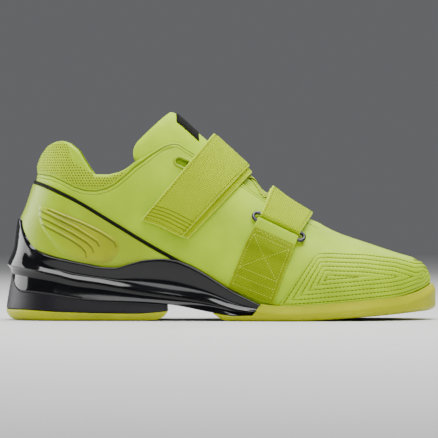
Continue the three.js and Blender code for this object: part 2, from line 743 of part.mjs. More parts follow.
function ring(frame) {
  const points = [];
  const bend = ringWireSpacing / 2;
  const bendSteps = 5;
  for (const end of [1, -1]) {
    for (let i = 0; i <= bendSteps; i++) {
      const angle = Math.PI / 2 - (i / bendSteps) * Math.PI;
      const reach = frame.length / 2 + Math.cos(angle) * bend;
      points.push(placeAt(frame, end * reach, end * Math.sin(angle) * bend, 0));
    }
  }
  return wireLoop(points, frame.out, ringWireRadius);
}

// Bar-shaped solid: a profile of [up, out] points in a ring's frame, pulled along its bars.
function alongBar(frame, profile, reach) {
  return loft([-reach, reach].map(bar => profile.map(([up, out]) => placeAt(frame, bar, up, out).toArray())));
}

const circle = (up, out, radius, steps = 16) => Array.from({ length: steps }, (_, i) => {
  const angle = (i / steps) * Math.PI * 2 + Math.PI / steps;
  return [up + Math.cos(angle) * radius, out + Math.sin(angle) * radius];
});

// Quadrilateral of a strap in the side view: its end below, and its edges past where they cross the instep
function strapSpan(edges, end, crossing = 'over') {
  const sides = [edges.back, edges.front].map(edge => {
    const [x, z] = upperPoints([edge[end]])[0];
    const at = edge[crossing] * shoeLength;
    const [dx, dz] = [at - x, bed(at) + form.top(at) - z];
    return { low: [x, z], high: [x + 1.2 * dx, z + 1.2 * dz] };
  });
  const [back, front] = sides;
  return [back.high, back.low, front.low, front.high];
}

// Strap that runs over the instep, through a ring on one side and back over itself to its tip.
function strap(frame, ringSide, inner, outer) {
  const half = side => (side < 0 ? [-farAway, 0] : [0, farAway]);
  const below = alongBar(frame, [
    [ringWireSpacing / 2, -farAway / 8], [ringWireSpacing / 2, farAway / 8],
    [-farAway, farAway / 8], [-farAway, -farAway / 8],
  ], farAway / 8);
  const innerShell = shell(strapBase, strapBase + strapLayer);
  const outerShell = shell(strapBase + strapLayer + strapSlit, strapBase + strapTotal);
  const layers = [
    innerShell.intersect(sideBlock(inner.ringSide, ...half(ringSide))).subtract(below),
    innerShell.intersect(sideBlock(inner.tipSide, ...half(-ringSide))),
    outerShell.intersect(sideBlock(outer.ringSide, ...half(ringSide))).subtract(below),
    outerShell.intersect(sideBlock(outer.tipSide, ...half(-ringSide))),
  ];
  const turn = alongBar(frame, circle(ringWireSpacing / 2, 0, strapTotal / 2), frame.length / 2 - 1);
  const hole = alongBar(frame, circle(ringWireSpacing / 2, 0, ringWireRadius + gap), frame.length);
  const clear = formSolid(gap, farAway / 10);
  return layers.reduce((whole, layer) => whole.add(layer), turn).subtract(hole).subtract(clear);
}

// Webbing tab: sewn down the side of the upper, its top end wrapped round the ring's lower bar.
function tab(frame, side, rows, bottom) {
  const [from, to] = side < 0 ? [-farAway, 0] : [0, farAway];
  const pastBar = alongBar(frame, [
    [-ringWireSpacing / 2, -farAway / 8], [-ringWireSpacing / 2, farAway / 8],
    [farAway, farAway / 8], [farAway, -farAway / 8],
  ], farAway / 8);
  const flat = shell(gap, gap + webbingThickness)
    .intersect(sideBlock(upperPoints(rows), from, to))
    .subtract(pastBar);
  const radius = strapTotal / 2;
  const lowerBar = -ringWireSpacing / 2;
  const turn = alongBar(frame, [
    ...circle(lowerBar, 0, radius, 12).filter(([up]) => up > lowerBar - 0.5).sort((p, q) => p[1] - q[1]),
    [lowerBar - webbingFold, gap + webbingThickness - ringLift],
    [lowerBar - webbingFold, -2 * webbingThickness - ringLift],
  ], frame.length / 2 - 1);
  const hole = alongBar(frame, circle(lowerBar, 0, ringWireRadius + gap), frame.length);
  return flat.add(turn)
    .subtract(hole)
    .subtract(formSolid(gap, farAway / 10))
    .intersect(above(bottom));
}

// Laces: front crossing and spacing along the length, and half width of the zigzag in ball widths
const laceCount = 3;
const laceFront = 0.63;
const laceSpacing = 0.056;
const laceHalf = 0.105;
const laceOverrun = 1.06;

// Laces crossing over the tongue between the eyestays, joined where they cross and turn.
function laceCrossings() {
  const bars = [];
  for (let i = 0; i < laceCount; i++) {
    const at = (laceFront - laceSpacing * i) * shoeLength;
    for (const side of [-1, 1]) bars.push(laceBar(at, side));
  }
  return bars.slice(1).reduce((whole, bar) => whole.add(bar), bars[0]);
}

// One flat lace over the tongue, from one eyestay to the other.
function laceBar(at, side) {
  const steps = 6;
  const apex = (ringSize - 1) / 2;
  const surface = (x, y) => {
    const i = formGrid.findIndex(row => row[apex].x > x);
    const share = (x - formGrid[i - 1][apex].x) / (formGrid[i][apex].x - formGrid[i - 1][apex].x);
    const heightOn = row => {
      const centre = row[apex].y;
      const j = row.findIndex((p, k) => k > 1 && k < ringSize - 1 && p.y > centre + y && p.y > row[k - 1].y);
      const [p, q] = [row[j - 1], row[j]];
      return p.z + ((q.z - p.z) * (centre + y - p.y)) / (q.y - p.y);
    };
    const z = heightOn(formGrid[i - 1]) * (1 - share) + heightOn(formGrid[i]) * share;
    return new THREE.Vector3(x, formGrid[i][apex].y + y, z);
  };
  const thickness = 2 * laceRadius * laceFlatness;
  const lift = 2 * gap - upperWall - tongueRoom + (side < 0 ? thickness / 2 : thickness);
  const rings = Array.from({ length: steps + 1 }, (_, k) => {
    const t = ((k / steps) * 2 - 1) * laceOverrun;
    const x = at + (side * t * laceSpacing * shoeLength) / 2;
    const y = t * laceHalf * ballWidth;
    const here = surface(x, y);
    const ahead = surface(x + 1, y).sub(here).normalize();
    const across = surface(x, y + 1).sub(surface(x, y - 1)).normalize();
    const out = new THREE.Vector3().crossVectors(ahead, across).normalize();
    if (out.z < 0) out.negate();
    const centre = here.clone().addScaledVector(out, lift);
    return Array.from({ length: 6 }, (_, j) => {
      const angle = (j / 6) * Math.PI * 2;
      return centre.clone()
        .addScaledVector(ahead, Math.cos(angle) * laceRadius * 1.6)
        .addScaledVector(out, Math.sin(angle) * laceRadius * laceFlatness)
        .toArray();
    });
  });
  return loft(rings);
}

const ringEndsLateral = [[0.582, 0.529], [0.678, 0.431]];
const ringEndsMedial = [[0.37, 0.575], [0.474, 0.51]];
const lateralRing = ringFrame(ringEndsLateral, -1);
const medialRing = ringFrame(ringEndsMedial, 1);

// Edges of the straps in the side view: where they cross the instep, and their ends on either side
const strapUpperEdges = {
  back: { over: 0.4736, overUnder: 0.4736, tip: [0.3136, 0.375], ring: [0.36, 0.44] },
  front: { over: 0.557, overUnder: 0.568, tip: [0.4085, 0.314], under: [0.4224, 0.312], ring: [0.455, 0.37] },
};
strapUpperEdges.back.under = strapUpperEdges.back.tip;
const strapLowerEdges = {
  back: { over: 0.611, ring: [0.572, 0.47], tip: [0.54, 0.28], foot: [0.505, 0.05] },
  front: { over: 0.706, ring: [0.655, 0.35], tip: [0.638, 0.19], foot: [0.612, 0.02] },
};

function upperStrap() {
  const inner = end => strapSpan(strapUpperEdges, end, 'overUnder');
  return strap(medialRing, 1,
    { ringSide: inner('ring'), tipSide: inner('under') },
    { ringSide: strapSpan(strapUpperEdges, 'ring'), tipSide: strapSpan(strapUpperEdges, 'tip') });
}

function lowerStrap() {
  return strap(lateralRing, -1,
    { ringSide: strapSpan(strapLowerEdges, 'ring'), tipSide: strapSpan(strapLowerEdges, 'foot') },
    { ringSide: strapSpan(strapLowerEdges, 'ring'), tipSide: strapSpan(strapLowerEdges, 'tip') })
    .intersect(above(overSole));
}

const tabRowsLateral = [[0.589, 0.6], [0.686, 0.52], [0.613, -0.05], [0.4995, -0.05]];
const tabRowsMedial = [[0.375, 0.6], [0.479, 0.54], [0.45, 0.1], [0.345, 0.1]];
const soleTop = x => Math.max(cradleTop(Math.min(x, cradleTip)), rim(x));
const pipingTop = x => (x < 0.44 * shoeLength ? piping(x) + pipingWidth : 0);
const overSole = linePoints(
  x => Math.max(soleTop(x), pipingTop(x)) + 3 * gap, 0.25 * shoeLength, 0.75 * shoeLength);

const finishes = {
  outsoleRubber: { color: 0xd8dc1e, roughness: 0.35, metalness: 0 },
  glossShell: { color: 0x0c0c0f, roughness: 0.12, metalness: 0 },
  mattBlock: { color: 0x1d1c22, roughness: 0.55, metalness: 0 },
  smoothUpper: { color: 0xbfd23c, roughness: 0.5, metalness: 0 },
  padPlastic: { color: 0xb9bd10, roughness: 0.3, metalness: 0 },
  pipingBlack: { color: 0x15170c, roughness: 0.6, metalness: 0 },
  webbing: { color: 0xa9bb22, roughness: 0.8, metalness: 0 },
  lining: { color: 0xa4b82a, roughness: 0.9, metalness: 0 },
  darkSteel: { color: 0x3a3a3e, roughness: 0.25, metalness: 1 },
};

const shoe = new THREE.Group();

function addPiece(name, manifold, finish) {
  const mesh = manifold.getMesh();
  const stride = mesh.numProp;
  const count = mesh.vertProperties.length / stride;
  const positions = new Float32Array(count * 3);
  for (let i = 0; i < count; i++) {
    for (let k = 0; k < 3; k++) positions[3 * i + k] = mesh.vertProperties[stride * i + k];
  }
  const geometry = new THREE.BufferGeometry();
  geometry.setAttribute('position', new THREE.BufferAttribute(positions, 3));
  geometry.setIndex(Array.from(mesh.triVerts));
  geometry.computeVertexNormals();
  const piece = new THREE.Mesh(geometry, new THREE.MeshStandardMaterial(finishes[finish]));
  piece.name = name;
  shoe.add(piece);
}

addPiece('outsole_forefoot', forefootSole(), 'outsoleRubber');
addPiece('outsole_heel', heelLift(), 'outsoleRubber');
addPiece('heel_block', heelBlock(), 'mattBlock');
addPiece('heel_cradle', heelCradle(), 'glossShell');
addPiece('insole', insole(), 'lining');
addPiece('upper', upper(), 'smoothUpper');
addPiece('tongue', tongue(), 'smoothUpper');
addPiece('heel_counter', heelCounter(), 'smoothUpper');
addPiece('heel_piping', heelPiping(), 'pipingBlack');
addPiece('heel_pad_lateral', heelPad(-1), 'padPlastic');
addPiece('heel_pad_medial', heelPad(1), 'padPlastic');
addPiece('toe_overlay_lateral', toeOverlay(-1), 'smoothUpper');
addPiece('toe_overlay_medial', toeOverlay(1), 'smoothUpper');
addPiece('lace_crossings', laceCrossings(), 'webbing');
addPiece('strap_upper', upperStrap(), 'webbing');
addPiece('strap_lower', lowerStrap(), 'webbing');
addPiece('ring_lateral', ring(lateralRing), 'darkSteel');
addPiece('ring_medial', ring(medialRing), 'darkSteel');
addPiece('tab_lateral', tab(lateralRing, -1, tabRowsLateral, overSole), 'webbing');
addPiece('tab_medial', tab(medialRing, 1, tabRowsMedial, overSole), 'webbing');

// The origin is on the floor under the middle of the shoe's box.
const box = new THREE.Box3().setFromObject(shoe);
shoe.position.set(-(box.min.x + box.max.x) / 2, -(box.min.y + box.max.y) / 2, -box.min.z);

export default shoe;
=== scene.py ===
import math
import bpy
import numpy as np
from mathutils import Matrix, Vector


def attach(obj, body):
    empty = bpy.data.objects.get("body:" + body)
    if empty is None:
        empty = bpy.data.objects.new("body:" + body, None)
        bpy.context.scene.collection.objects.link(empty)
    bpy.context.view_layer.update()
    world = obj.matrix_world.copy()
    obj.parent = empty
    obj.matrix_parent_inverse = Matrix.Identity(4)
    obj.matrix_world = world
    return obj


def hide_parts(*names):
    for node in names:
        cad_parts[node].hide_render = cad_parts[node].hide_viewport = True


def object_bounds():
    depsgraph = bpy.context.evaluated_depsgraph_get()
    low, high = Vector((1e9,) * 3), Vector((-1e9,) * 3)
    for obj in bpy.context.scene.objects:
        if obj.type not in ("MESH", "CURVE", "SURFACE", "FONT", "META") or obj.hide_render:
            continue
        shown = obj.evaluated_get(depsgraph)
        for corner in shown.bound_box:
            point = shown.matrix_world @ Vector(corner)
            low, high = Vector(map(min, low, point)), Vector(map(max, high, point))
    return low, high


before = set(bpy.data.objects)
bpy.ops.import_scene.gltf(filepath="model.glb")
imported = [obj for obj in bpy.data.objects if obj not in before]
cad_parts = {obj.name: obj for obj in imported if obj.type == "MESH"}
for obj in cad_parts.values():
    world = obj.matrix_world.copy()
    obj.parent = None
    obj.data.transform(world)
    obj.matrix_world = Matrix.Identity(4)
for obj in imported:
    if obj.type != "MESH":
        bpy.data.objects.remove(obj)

cad_low, cad_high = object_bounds()

# Driving sizes of the shoe, in metres, as the solids have them
LENGTH = cad_high.x - cad_low.x
BALL_WIDTH = 0.105
HEEL_HEIGHT = 0.030
FOREFOOT_HEIGHT = 0.0075
TOE_SPRING = 0.007
UPPER_HEIGHT = 0.1124
SOLE_MARGIN = 0.004
FEATHER_TUCK = 0.005
CRADLE_FLARE = 0.005
RIM_HEIGHT = 0.004
RIM_INSET = 0.0022
TREAD_CORNER = 0.0035
UPPER_WALL = 0.0024
COLLAR_PADDING = 0.0045
TONGUE_THICKNESS = 0.006
TONGUE_ROOM = 0.0004
INSOLE_THICKNESS = 0.004
STRAP_LAYER = 0.0019
STRAP_SLIT = 0.0003
STRAP_BASE = 0.0004
RING_SPACING = 0.0064
RING_WIRE = 0.0012
PIPING_WIDTH = 0.0028
GAP = 0.0003
MM = 0.001


def curve(rows, column=1):
    """Smooth curve through one column of a table against its first column, with no overshoot."""
    xs = np.array([row[0] for row in rows], float)
    ys = np.array([row[column] for row in rows], float)
    secants = np.diff(ys) / np.diff(xs)
    slopes = np.zeros_like(ys)
    slopes[0], slopes[-1] = secants[0], secants[-1]
    before, after = secants[:-1], secants[1:]
    same = before * after > 0
    slopes[1:-1][same] = 2 * before[same] * after[same] / (before + after)[same]

    def value(at):
        at = np.clip(at, xs[0], xs[-1])
        i = np.clip(np.searchsorted(xs, at, "right") - 1, 0, len(xs) - 2)
        width = xs[i + 1] - xs[i]
        t = (at - xs[i]) / width
        a, b = slopes[i] * width, slopes[i + 1] * width
        rise = ys[i + 1] - ys[i]
        return ys[i] + t * (a + t * (3 * rise - 2 * a - b + t * (a + b - 2 * rise)))

    return value


def along(rows, column, scale):
    """A table's column as a function of the distance from the back of the heel."""
    shares = curve(rows, column)
    return lambda x: shares(np.asarray(x, float) / LENGTH) * scale


def smooth(t):
    c = np.clip(t, 0, 1)
    return c * c * (3 - 2 * c)


# Foot bed: share of the heel lift that is left, and share of the toe spring
BED = (
    (0.0, 1.0, 0.0), (0.12, 1.0, 0.0), (0.24, 0.93, 0.0), (0.36, 0.72, 0.0), (0.48, 0.4, 0.0),
    (0.57, 0.14, 0.0), (0.66, 0.0, 0.0), (0.83, 0.0, 0.39), (1.0, 0.0, 1.0),
)
heel_share = along(BED, 1, 1)
toe_rise = along(BED, 2, TOE_SPRING)


def bed(x):
    return FOREFOOT_HEIGHT + (HEEL_HEIGHT - FOREFOOT_HEIGHT) * heel_share(x) + toe_rise(x)


# Plan of the sole: centre line and half width in ball widths
PLAN = (
    (0.0, 0.0, 0.37), (0.15, 0.0, 0.372), (0.28, -0.012, 0.36), (0.4, -0.025, 0.355), (0.52, -0.03, 0.405),
    (0.64, -0.02, 0.485), (0.72, 0.0, 0.5), (0.82, 0.03, 0.488), (0.91, 0.07, 0.46), (1.0, 0.115, 0.43),
)
plan_centre = along(PLAN, 1, BALL_WIDTH)
plan_half = along(PLAN, 2, BALL_WIDTH)
HEEL_ROUND = 0.37 * BALL_WIDTH
TOE_ROUND = 0.21 * LENGTH
HEEL_PART = 0.18
TOE_PART = 0.27


def station(w, back, front):
    """Distance along the shoe and share of the half width, for w from 0 at the back to 1 at the toe."""
    w = np.asarray(w, float)
    start, end = back + HEEL_ROUND, front - TOE_ROUND
    heel = np.clip(w / HEEL_PART, 0, 1) * math.pi / 2
    toe = np.clip((w - 1 + TOE_PART) / TOE_PART, 0, 1) * math.pi / 2
    middle = np.clip((w - HEEL_PART) / (1 - TOE_PART - HEEL_PART), 0, 1)
    x = start - HEEL_ROUND * np.cos(heel) + (end - start) * middle + TOE_ROUND * np.sin(toe)
    return x, np.sin(heel) * np.sqrt(np.clip(1 - np.sin(toe) ** 2.2, 0, 1))


def station_of(x, back, front):
    """The w of a distance along the shoe."""
    start, end = back + HEEL_ROUND, front - TOE_ROUND
    heel = np.arccos(np.clip((start - x) / HEEL_ROUND, 0, 1)) / (math.pi / 2) * HEEL_PART
    toe = 1 - TOE_PART + TOE_PART * np.arcsin(np.clip((x - end) / TOE_ROUND, 0, 1)) / (math.pi / 2)
    middle = HEEL_PART + (1 - TOE_PART - HEEL_PART) * (x - start) / (end - start)
    return np.where(x < start, heel, np.where(x > end, toe, middle))


# Upper form: inset and tuck at its foot, height of its widest line, top, fullness and lean of its crown
FORM = (
    (0.0, 1.15, 0.8, 0.125, 1.068, 2.6, 0.0), (0.14, 1.15, 0.8, 0.135, 1.068, 2.6, 0.0),
    (0.25, 1.2, 0.9, 0.15, 1.082, 2.5, 0.0), (0.35, 1.15, 1.1, 0.17, 1.12, 2.35, 0.01),
    (0.387, 1.15, 1.12, 0.165, 1.1, 2.25, 0.015), (0.457, 1.15, 1.04, 0.15, 0.988, 2.1, 0.025),
    (0.508, 1.1, 0.92, 0.14, 0.9, 2.05, 0.03), (0.566, 1.0, 0.72, 0.125, 0.797, 2.05, 0.04),
    (0.6, 0.925, 0.6, 0.115, 0.735, 2.05, 0.045), (0.644, 0.85, 0.56, 0.105, 0.655, 2.1, 0.05),
    (0.702, 0.775, 0.52, 0.1, 0.56, 2.15, 0.055), (0.766, 0.75, 0.5, 0.095, 0.457, 2.25, 0.055),
    (0.85, 0.75, 0.48, 0.085, 0.364, 2.4, 0.045), (0.92, 0.75, 0.44, 0.08, 0.288, 2.6, 0.03),
    (0.95, 0.75, 0.4, 0.075, 0.256, 2.7, 0.02), (0.97, 0.75, 0.36, 0.06, 0.2, 2.6, 0.01),
    (0.987, 0.75, 0.3, 0.05, 0.115, 2.4, 0.0),
)
form_inset = along(FORM, 1, SOLE_MARGIN)
form_tuck = along(FORM, 2, FEATHER_TUCK)
form_bulge = along(FORM, 3, UPPER_HEIGHT)
form_top = along(FORM, 4, UPPER_HEIGHT)
form_fullness = along(FORM, 5, 1)
form_crown = along(FORM, 6, BALL_WIDTH)
UPPER_BACK = 2.4 * SOLE_MARGIN
UPPER_FRONT = LENGTH - SOLE_MARGIN

# Lean of the heel's back by height over the bed, both in upper heights
LEAN = (
    (0.0, 0.0053), (0.16, 0.0), (0.27, 0.0018), (0.34, 0.0142), (0.41, 0.0436), (0.5, 0.0738),
    (0.58, 0.0979), (0.67, 0.1103), (0.76, 0.1335), (1.07, 0.2135),
)
lean_share = curve(LEAN)
FOOT_PART = 0.16


def lean(x, over):
    fade = np.clip(1 - (x - UPPER_BACK) / (0.27 * LENGTH), 0, None) ** 1.5
    return lean_share(over / UPPER_HEIGHT) * UPPER_HEIGHT * fade


def mid_y():
    """Middle of the sole's width, which the frame has at y = 0."""
    x, share = station(np.linspace(0, 1, 2001), 0, LENGTH)
    outer, inner = plan_centre(x) - plan_half(x) * share, plan_centre(x) + plan_half(x) * share
    return (outer.min() + inner.max()) / 2


FRAME_SHIFT = np.array([cad_low.x, -mid_y(), 0.0])


def form_point(w, t):
    """Point of the upper form: w from heel to toe, t from -1 at the outer foot over 0 at the top to 1."""
    w, t = np.broadcast_arrays(np.asarray(w, float), np.asarray(t, float))
    x, share = station(w, UPPER_BACK, UPPER_FRONT)
    rise_share = 1 - np.abs(t)
    widest = (plan_half(x) - form_inset(x)) * share
    feather = (plan_half(x) - form_inset(x) - form_tuck(x)) * share
    foot = np.clip(rise_share / FOOT_PART, 0, 1)
    angle = np.clip((rise_share - FOOT_PART) / (1 - FOOT_PART), 0, 1) * math.pi / 2
    power = 2 / form_fullness(x)
    rise = np.sin(angle) ** power
    reach = np.clip(np.cos(angle), 0, 1) ** power
    low = rise_share < FOOT_PART
    half = np.where(low, feather + (widest - feather) * np.sin(foot * math.pi / 2), widest * reach)
    over = np.where(low, form_bulge(x) * foot, form_bulge(x) + (form_top(x) - form_bulge(x)) * rise)
    crown = np.where(low, 0, form_crown(x) * rise ** 2)
    return np.stack([x + lean(x, over), plan_centre(x) + np.sign(t) * half + crown, bed(x) + over], -1)


def form_normal(w, t):
    """Outward normal of the upper form."""
    step = 2e-3
    w, t = np.broadcast_arrays(np.asarray(w, float), np.asarray(t, float))
    onward = form_point(np.clip(w + step, 0, 1), t) - form_point(np.clip(w - step, 0, 1), t)
    across = form_point(w, np.clip(t + step, -1, 1)) - form_point(w, np.clip(t - step, -1, 1))
    normal = np.cross(onward, across)
    return normal / np.maximum(np.linalg.norm(normal, axis=-1, keepdims=True), 1e-12)


def form_offset(w, t, offset):
    """Points at a distance from the upper form, in the frame."""
    offset = np.broadcast_to(np.asarray(offset, float), np.broadcast(w, t).shape)
    return form_point(w, t) + form_normal(w, t) * offset[..., None] + FRAME_SHIFT


def t_at_height(x, over, highest=1.0):
    """The unsigned t of the form's point at a height over the bed, and at most a share of its crown."""
    foot = np.clip(over / form_bulge(x), 0, 1)
    rise = np.clip((over - form_bulge(x)) / (form_top(x) - form_bulge(x)), 0, highest)
    angle = np.arcsin(rise ** (form_fullness(x) / 2)) / (math.pi / 2)
    return 1 - np.where(over < form_bulge(x), foot * FOOT_PART, FOOT_PART + (1 - FOOT_PART) * angle)


def t_at_reach(w, half):
    """The unsigned t where the form's crown is a distance from its centre line in plan."""
    x, share = station(w, UPPER_BACK, UPPER_FRONT)
    widest = (plan_half(x) - form_inset(x)) * share
    reach = np.clip(half / np.maximum(widest, 1e-6), 0, 1)
    angle = np.arccos(reach ** (form_fullness(x) / 2)) / (math.pi / 2)
    return (1 - FOOT_PART) * (1 - angle)


def on_side(x, z):
    """The w and the unsigned t of the form's point that shows at x, z in the side view."""
    x, z = np.broadcast_arrays(np.asarray(x, float), np.asarray(z, float))
    at = x.copy()
    for _ in range(12):
        at = np.clip(x - lean(at, z - bed(at)), UPPER_BACK, UPPER_FRONT)
    return station_of(at, UPPER_BACK, UPPER_FRONT), t_at_height(at, z - bed(at))


def on_line(w, line):
    """The unsigned t where the form meets a height line of the side view, at each w."""
    at, _ = station(w, UPPER_BACK, UPPER_FRONT)
    z = line(at)
    for _ in range(12):
        z = line(at + lean(at, z - bed(at)))
    return on_side(at + lean(at, z - bed(at)), z)[1]


def upper_rows(rows):
    """Side view points in metres from shares: along the length, and up from the bed in upper heights."""
    rows = np.array(rows, float)
    x = rows[:, 0] * LENGTH
    return np.stack([x, bed(x) + rows[:, 1] * UPPER_HEIGHT], -1)


def line_through(points):
    """Height line of the side view through points, straight between them."""
    points = np.asarray(points, float)
    return lambda x: np.interp(x, points[:, 0], points[:, 1])


# Lines of the sole in the side view, in heel heights
CRADLE_TOP = (
    (-0.02, 2.4), (0.029, 2.3), (0.034, 2.1), (0.042, 1.87), (0.056, 1.66), (0.073, 1.56), (0.1, 1.457),
    (0.135, 1.38), (0.182, 1.287), (0.22, 1.217), (0.252, 1.207), (0.288, 1.3), (0.324, 1.387), (0.36, 1.41),
    (0.388, 1.38), (0.417, 1.283), (0.452, 1.11), (0.488, 0.897), (0.523, 0.687), (0.552, 0.547),
    (0.589, 0.373),
)
CRADLE_BOTTOM = (
    (-0.02, 1.08), (0.012, 1.02), (0.019, 0.85), (0.029, 0.71), (0.041, 0.65), (0.06, 0.64), (0.205, 0.46),
    (0.305, 0.427), (0.376, 0.377), (0.48, 0.193), (0.53, 0.125), (0.57, 0.14),
)
RIDGE = (
    (0.0, 1.27), (0.049, 1.19), (0.12, 1.06), (0.16, 0.96), (0.215, 0.88), (0.305, 0.723), (0.464, 0.477),
    (0.542, 0.26), (0.6, 0.2),
)
LIFT_TOP = ((-0.02, 0.25), (0.03, 0.25), (0.134, 0.2), (0.3, 0.165), (0.36, 0.205), (0.39, 0.25))
RIM = (
    (0.55, 0.5), (0.6, 0.55), (0.675, 0.8), (0.77, 0.88), (0.86, 1.02), (0.92, 1.12), (0.952, 1.52),
    (0.976, 2.1), (1.0, 2.9),
)
PIPING = ((0.0, 3.3), (0.073, 3.13), (0.145, 2.825), (0.252, 2.207), (0.334, 1.72), (0.42, 1.25))
cradle_top = along(CRADLE_TOP, 1, HEEL_HEIGHT)
cradle_bottom = along(CRADLE_BOTTOM, 1, HEEL_HEIGHT)
ridge = along(RIDGE, 1, HEEL_HEIGHT)
lift_top = along(LIFT_TOP, 1, HEEL_HEIGHT)
rim_up = along(RIM, 1, RIM_HEIGHT)
piping_line = along(PIPING, 1, HEEL_HEIGHT)
HEEL_FRONT = 0.376 * LENGTH
CRADLE_TIP = 0.589 * LENGTH
CRADLE_TIP_UNDER = 0.57 * LENGTH
FOREFOOT_BACK = 0.48 * LENGTH


def rim(x):
    return bed(x) + rim_up(x)


class Signal:
    """A shader socket that can be used in Python arithmetic."""

    def __init__(self, finish, socket):
        self.finish, self.socket = finish, socket

    def math(self, operation, *others):
        inputs = {i: value for i, value in enumerate((self, *others))}
        return self.finish.node("ShaderNodeMath", {"operation": operation}, inputs)

    def back(self, operation, other):
        return self.finish.node("ShaderNodeMath", {"operation": operation}, {0: other, 1: self})

    def __add__(self, other):
        return self.math("ADD", other)

    def __radd__(self, other):
        return self.back("ADD", other)

    def __sub__(self, other):
        return self.math("SUBTRACT", other)

    def __rsub__(self, other):
        return self.back("SUBTRACT", other)

    def __mul__(self, other):
        return self.math("MULTIPLY", other)

    def __rmul__(self, other):
        return self.back("MULTIPLY", other)

    def __truediv__(self, other):
        return self.math("DIVIDE", other)

    def __pow__(self, other):
        return self.math("POWER", other)

    def absolute(self):
        return self.math("ABSOLUTE")

    def sine(self):
        return self.math("SINE")

    def fraction(self):
        return self.math("FRACT")

    def least(self, other):
        return self.math("MINIMUM", other)

    def ramp(self, low, high):
        """0 below low and 1 above high, smooth between them."""
        settings = {"interpolation_type": "SMOOTHSTEP"}
        return self.finish.node("ShaderNodeMapRange", settings, {0: self, 1: low, 2: high, 3: 0.0, 4: 1.0})


class Finish:
    """A procedural material."""

    def __init__(self, name, **shader):
        self.material = bpy.data.materials.new(name)
        self.material.use_nodes = True
        self.tree = self.material.node_tree
        self.tree.nodes.clear()
        output = self.tree.nodes.new("ShaderNodeOutputMaterial")
        self.shader = self.tree.nodes.new("ShaderNodeBsdfPrincipled")
        self.tree.links.new(self.shader.outputs[0], output.inputs[0])
        for key, value in shader.items():
            self.shader.inputs[key.replace("_", " ").title().replace("Ior", "IOR")].default_value = value

    def node(self, kind, settings=(), inputs=(), output=0):
        node = self.tree.nodes.new(kind)
        for key, value in dict(settings).items():
            setattr(node, key, value)
        for key, value in dict(inputs).items():
            self.feed(node.inputs[key], value)
        return Signal(self, node.outputs[output])

    def feed(self, socket, value):
        if isinstance(value, Signal):
            self.tree.links.new(value.socket, socket)
        elif isinstance(value, tuple) and len(value) == 3 and len(socket.default_value) == 4:
            socket.default_value = (*value, 1)
        else:
            socket.default_value = value

    def place(self):
        return self.node("ShaderNodeTexCoord", output="Object")

    def axes(self, vector):
        split = self.node("ShaderNodeSeparateXYZ", inputs={0: vector})
        outputs = split.socket.node.outputs
        return [Signal(self, outputs[i]) for i in range(3)]

    def surface(self):
        """The piece's own coordinates across its surface, in metres."""
        return self.axes(self.node("ShaderNodeUVMap", {"uv_map": "UVMap"}))[:2]

    def attribute(self, name):
        return self.node("ShaderNodeAttribute", {"attribute_name": name}, output="Fac")

    def noise(self, scale, detail=3.0, roughness=0.5):
        inputs = {"Vector": self.place(), "Scale": scale, "Detail": detail, "Roughness": roughness}
        return self.node("ShaderNodeTexNoise", inputs=inputs)

    def mix(self, share, first, second):
        inputs = {0: share, 6: first, 7: second}
        return self.node("ShaderNodeMix", {"data_type": "RGBA"}, inputs, output=2)

    def colour(self, value):
        self.feed(self.shader.inputs["Base Color"], value)

    def roughness(self, value):
        self.feed(self.shader.inputs["Roughness"], value)

    def bump(self, height):
        """Relief from a height in metres."""
        inputs = {"Height": height, "Distance": 1.0, "Strength": 1.0}
        self.feed(self.shader.inputs["Normal"], self.node("ShaderNodeBump", inputs=inputs))


def linear(red, green, blue):
    """Linear colour from 0 to 255 screen values."""
    values = np.array([red, green, blue]) / 255
    bright = ((values + 0.055) / 1.055) ** 2.4
    return tuple(float(v) for v in np.where(values > 0.04045, bright, values / 12.92))


# Height of a staggered grid's cell, in pitches
DOT_ROWS = 1.732


def hex_dots(u, v, pitch):
    """Distance in metres to the nearest dot of a staggered grid."""
    tall = pitch * DOT_ROWS

    def lattice(shift):
        du = ((u / pitch + shift).fraction() - 0.5) * pitch
        dv = ((v / tall + shift).fraction() - 0.5) * tall
        return (du * du + dv * dv) ** 0.5

    return lattice(0.0).least(lattice(0.5))


def woven(u, v, pitch):
    """Height of a plain weave from 0 to 1."""
    a = (u * (math.pi / pitch)).sine()
    b = (v * (math.pi / pitch)).sine()
    over = (a * b).ramp(-0.15, 0.15)
    along_u, along_v = 1 - b * b, 1 - a * a
    return 1 - (over * along_u + (1 - over) * along_v)


# Yellow-greens of the upper and its parts
VOLT = (0.45, 0.67, 0.0)
VOLT_DEEP = (0.35, 0.54, 0.0)
VOLT_LIGHT = (0.68, 0.86, 0.06)
OLIVE = (0.2, 0.27, 0.0)


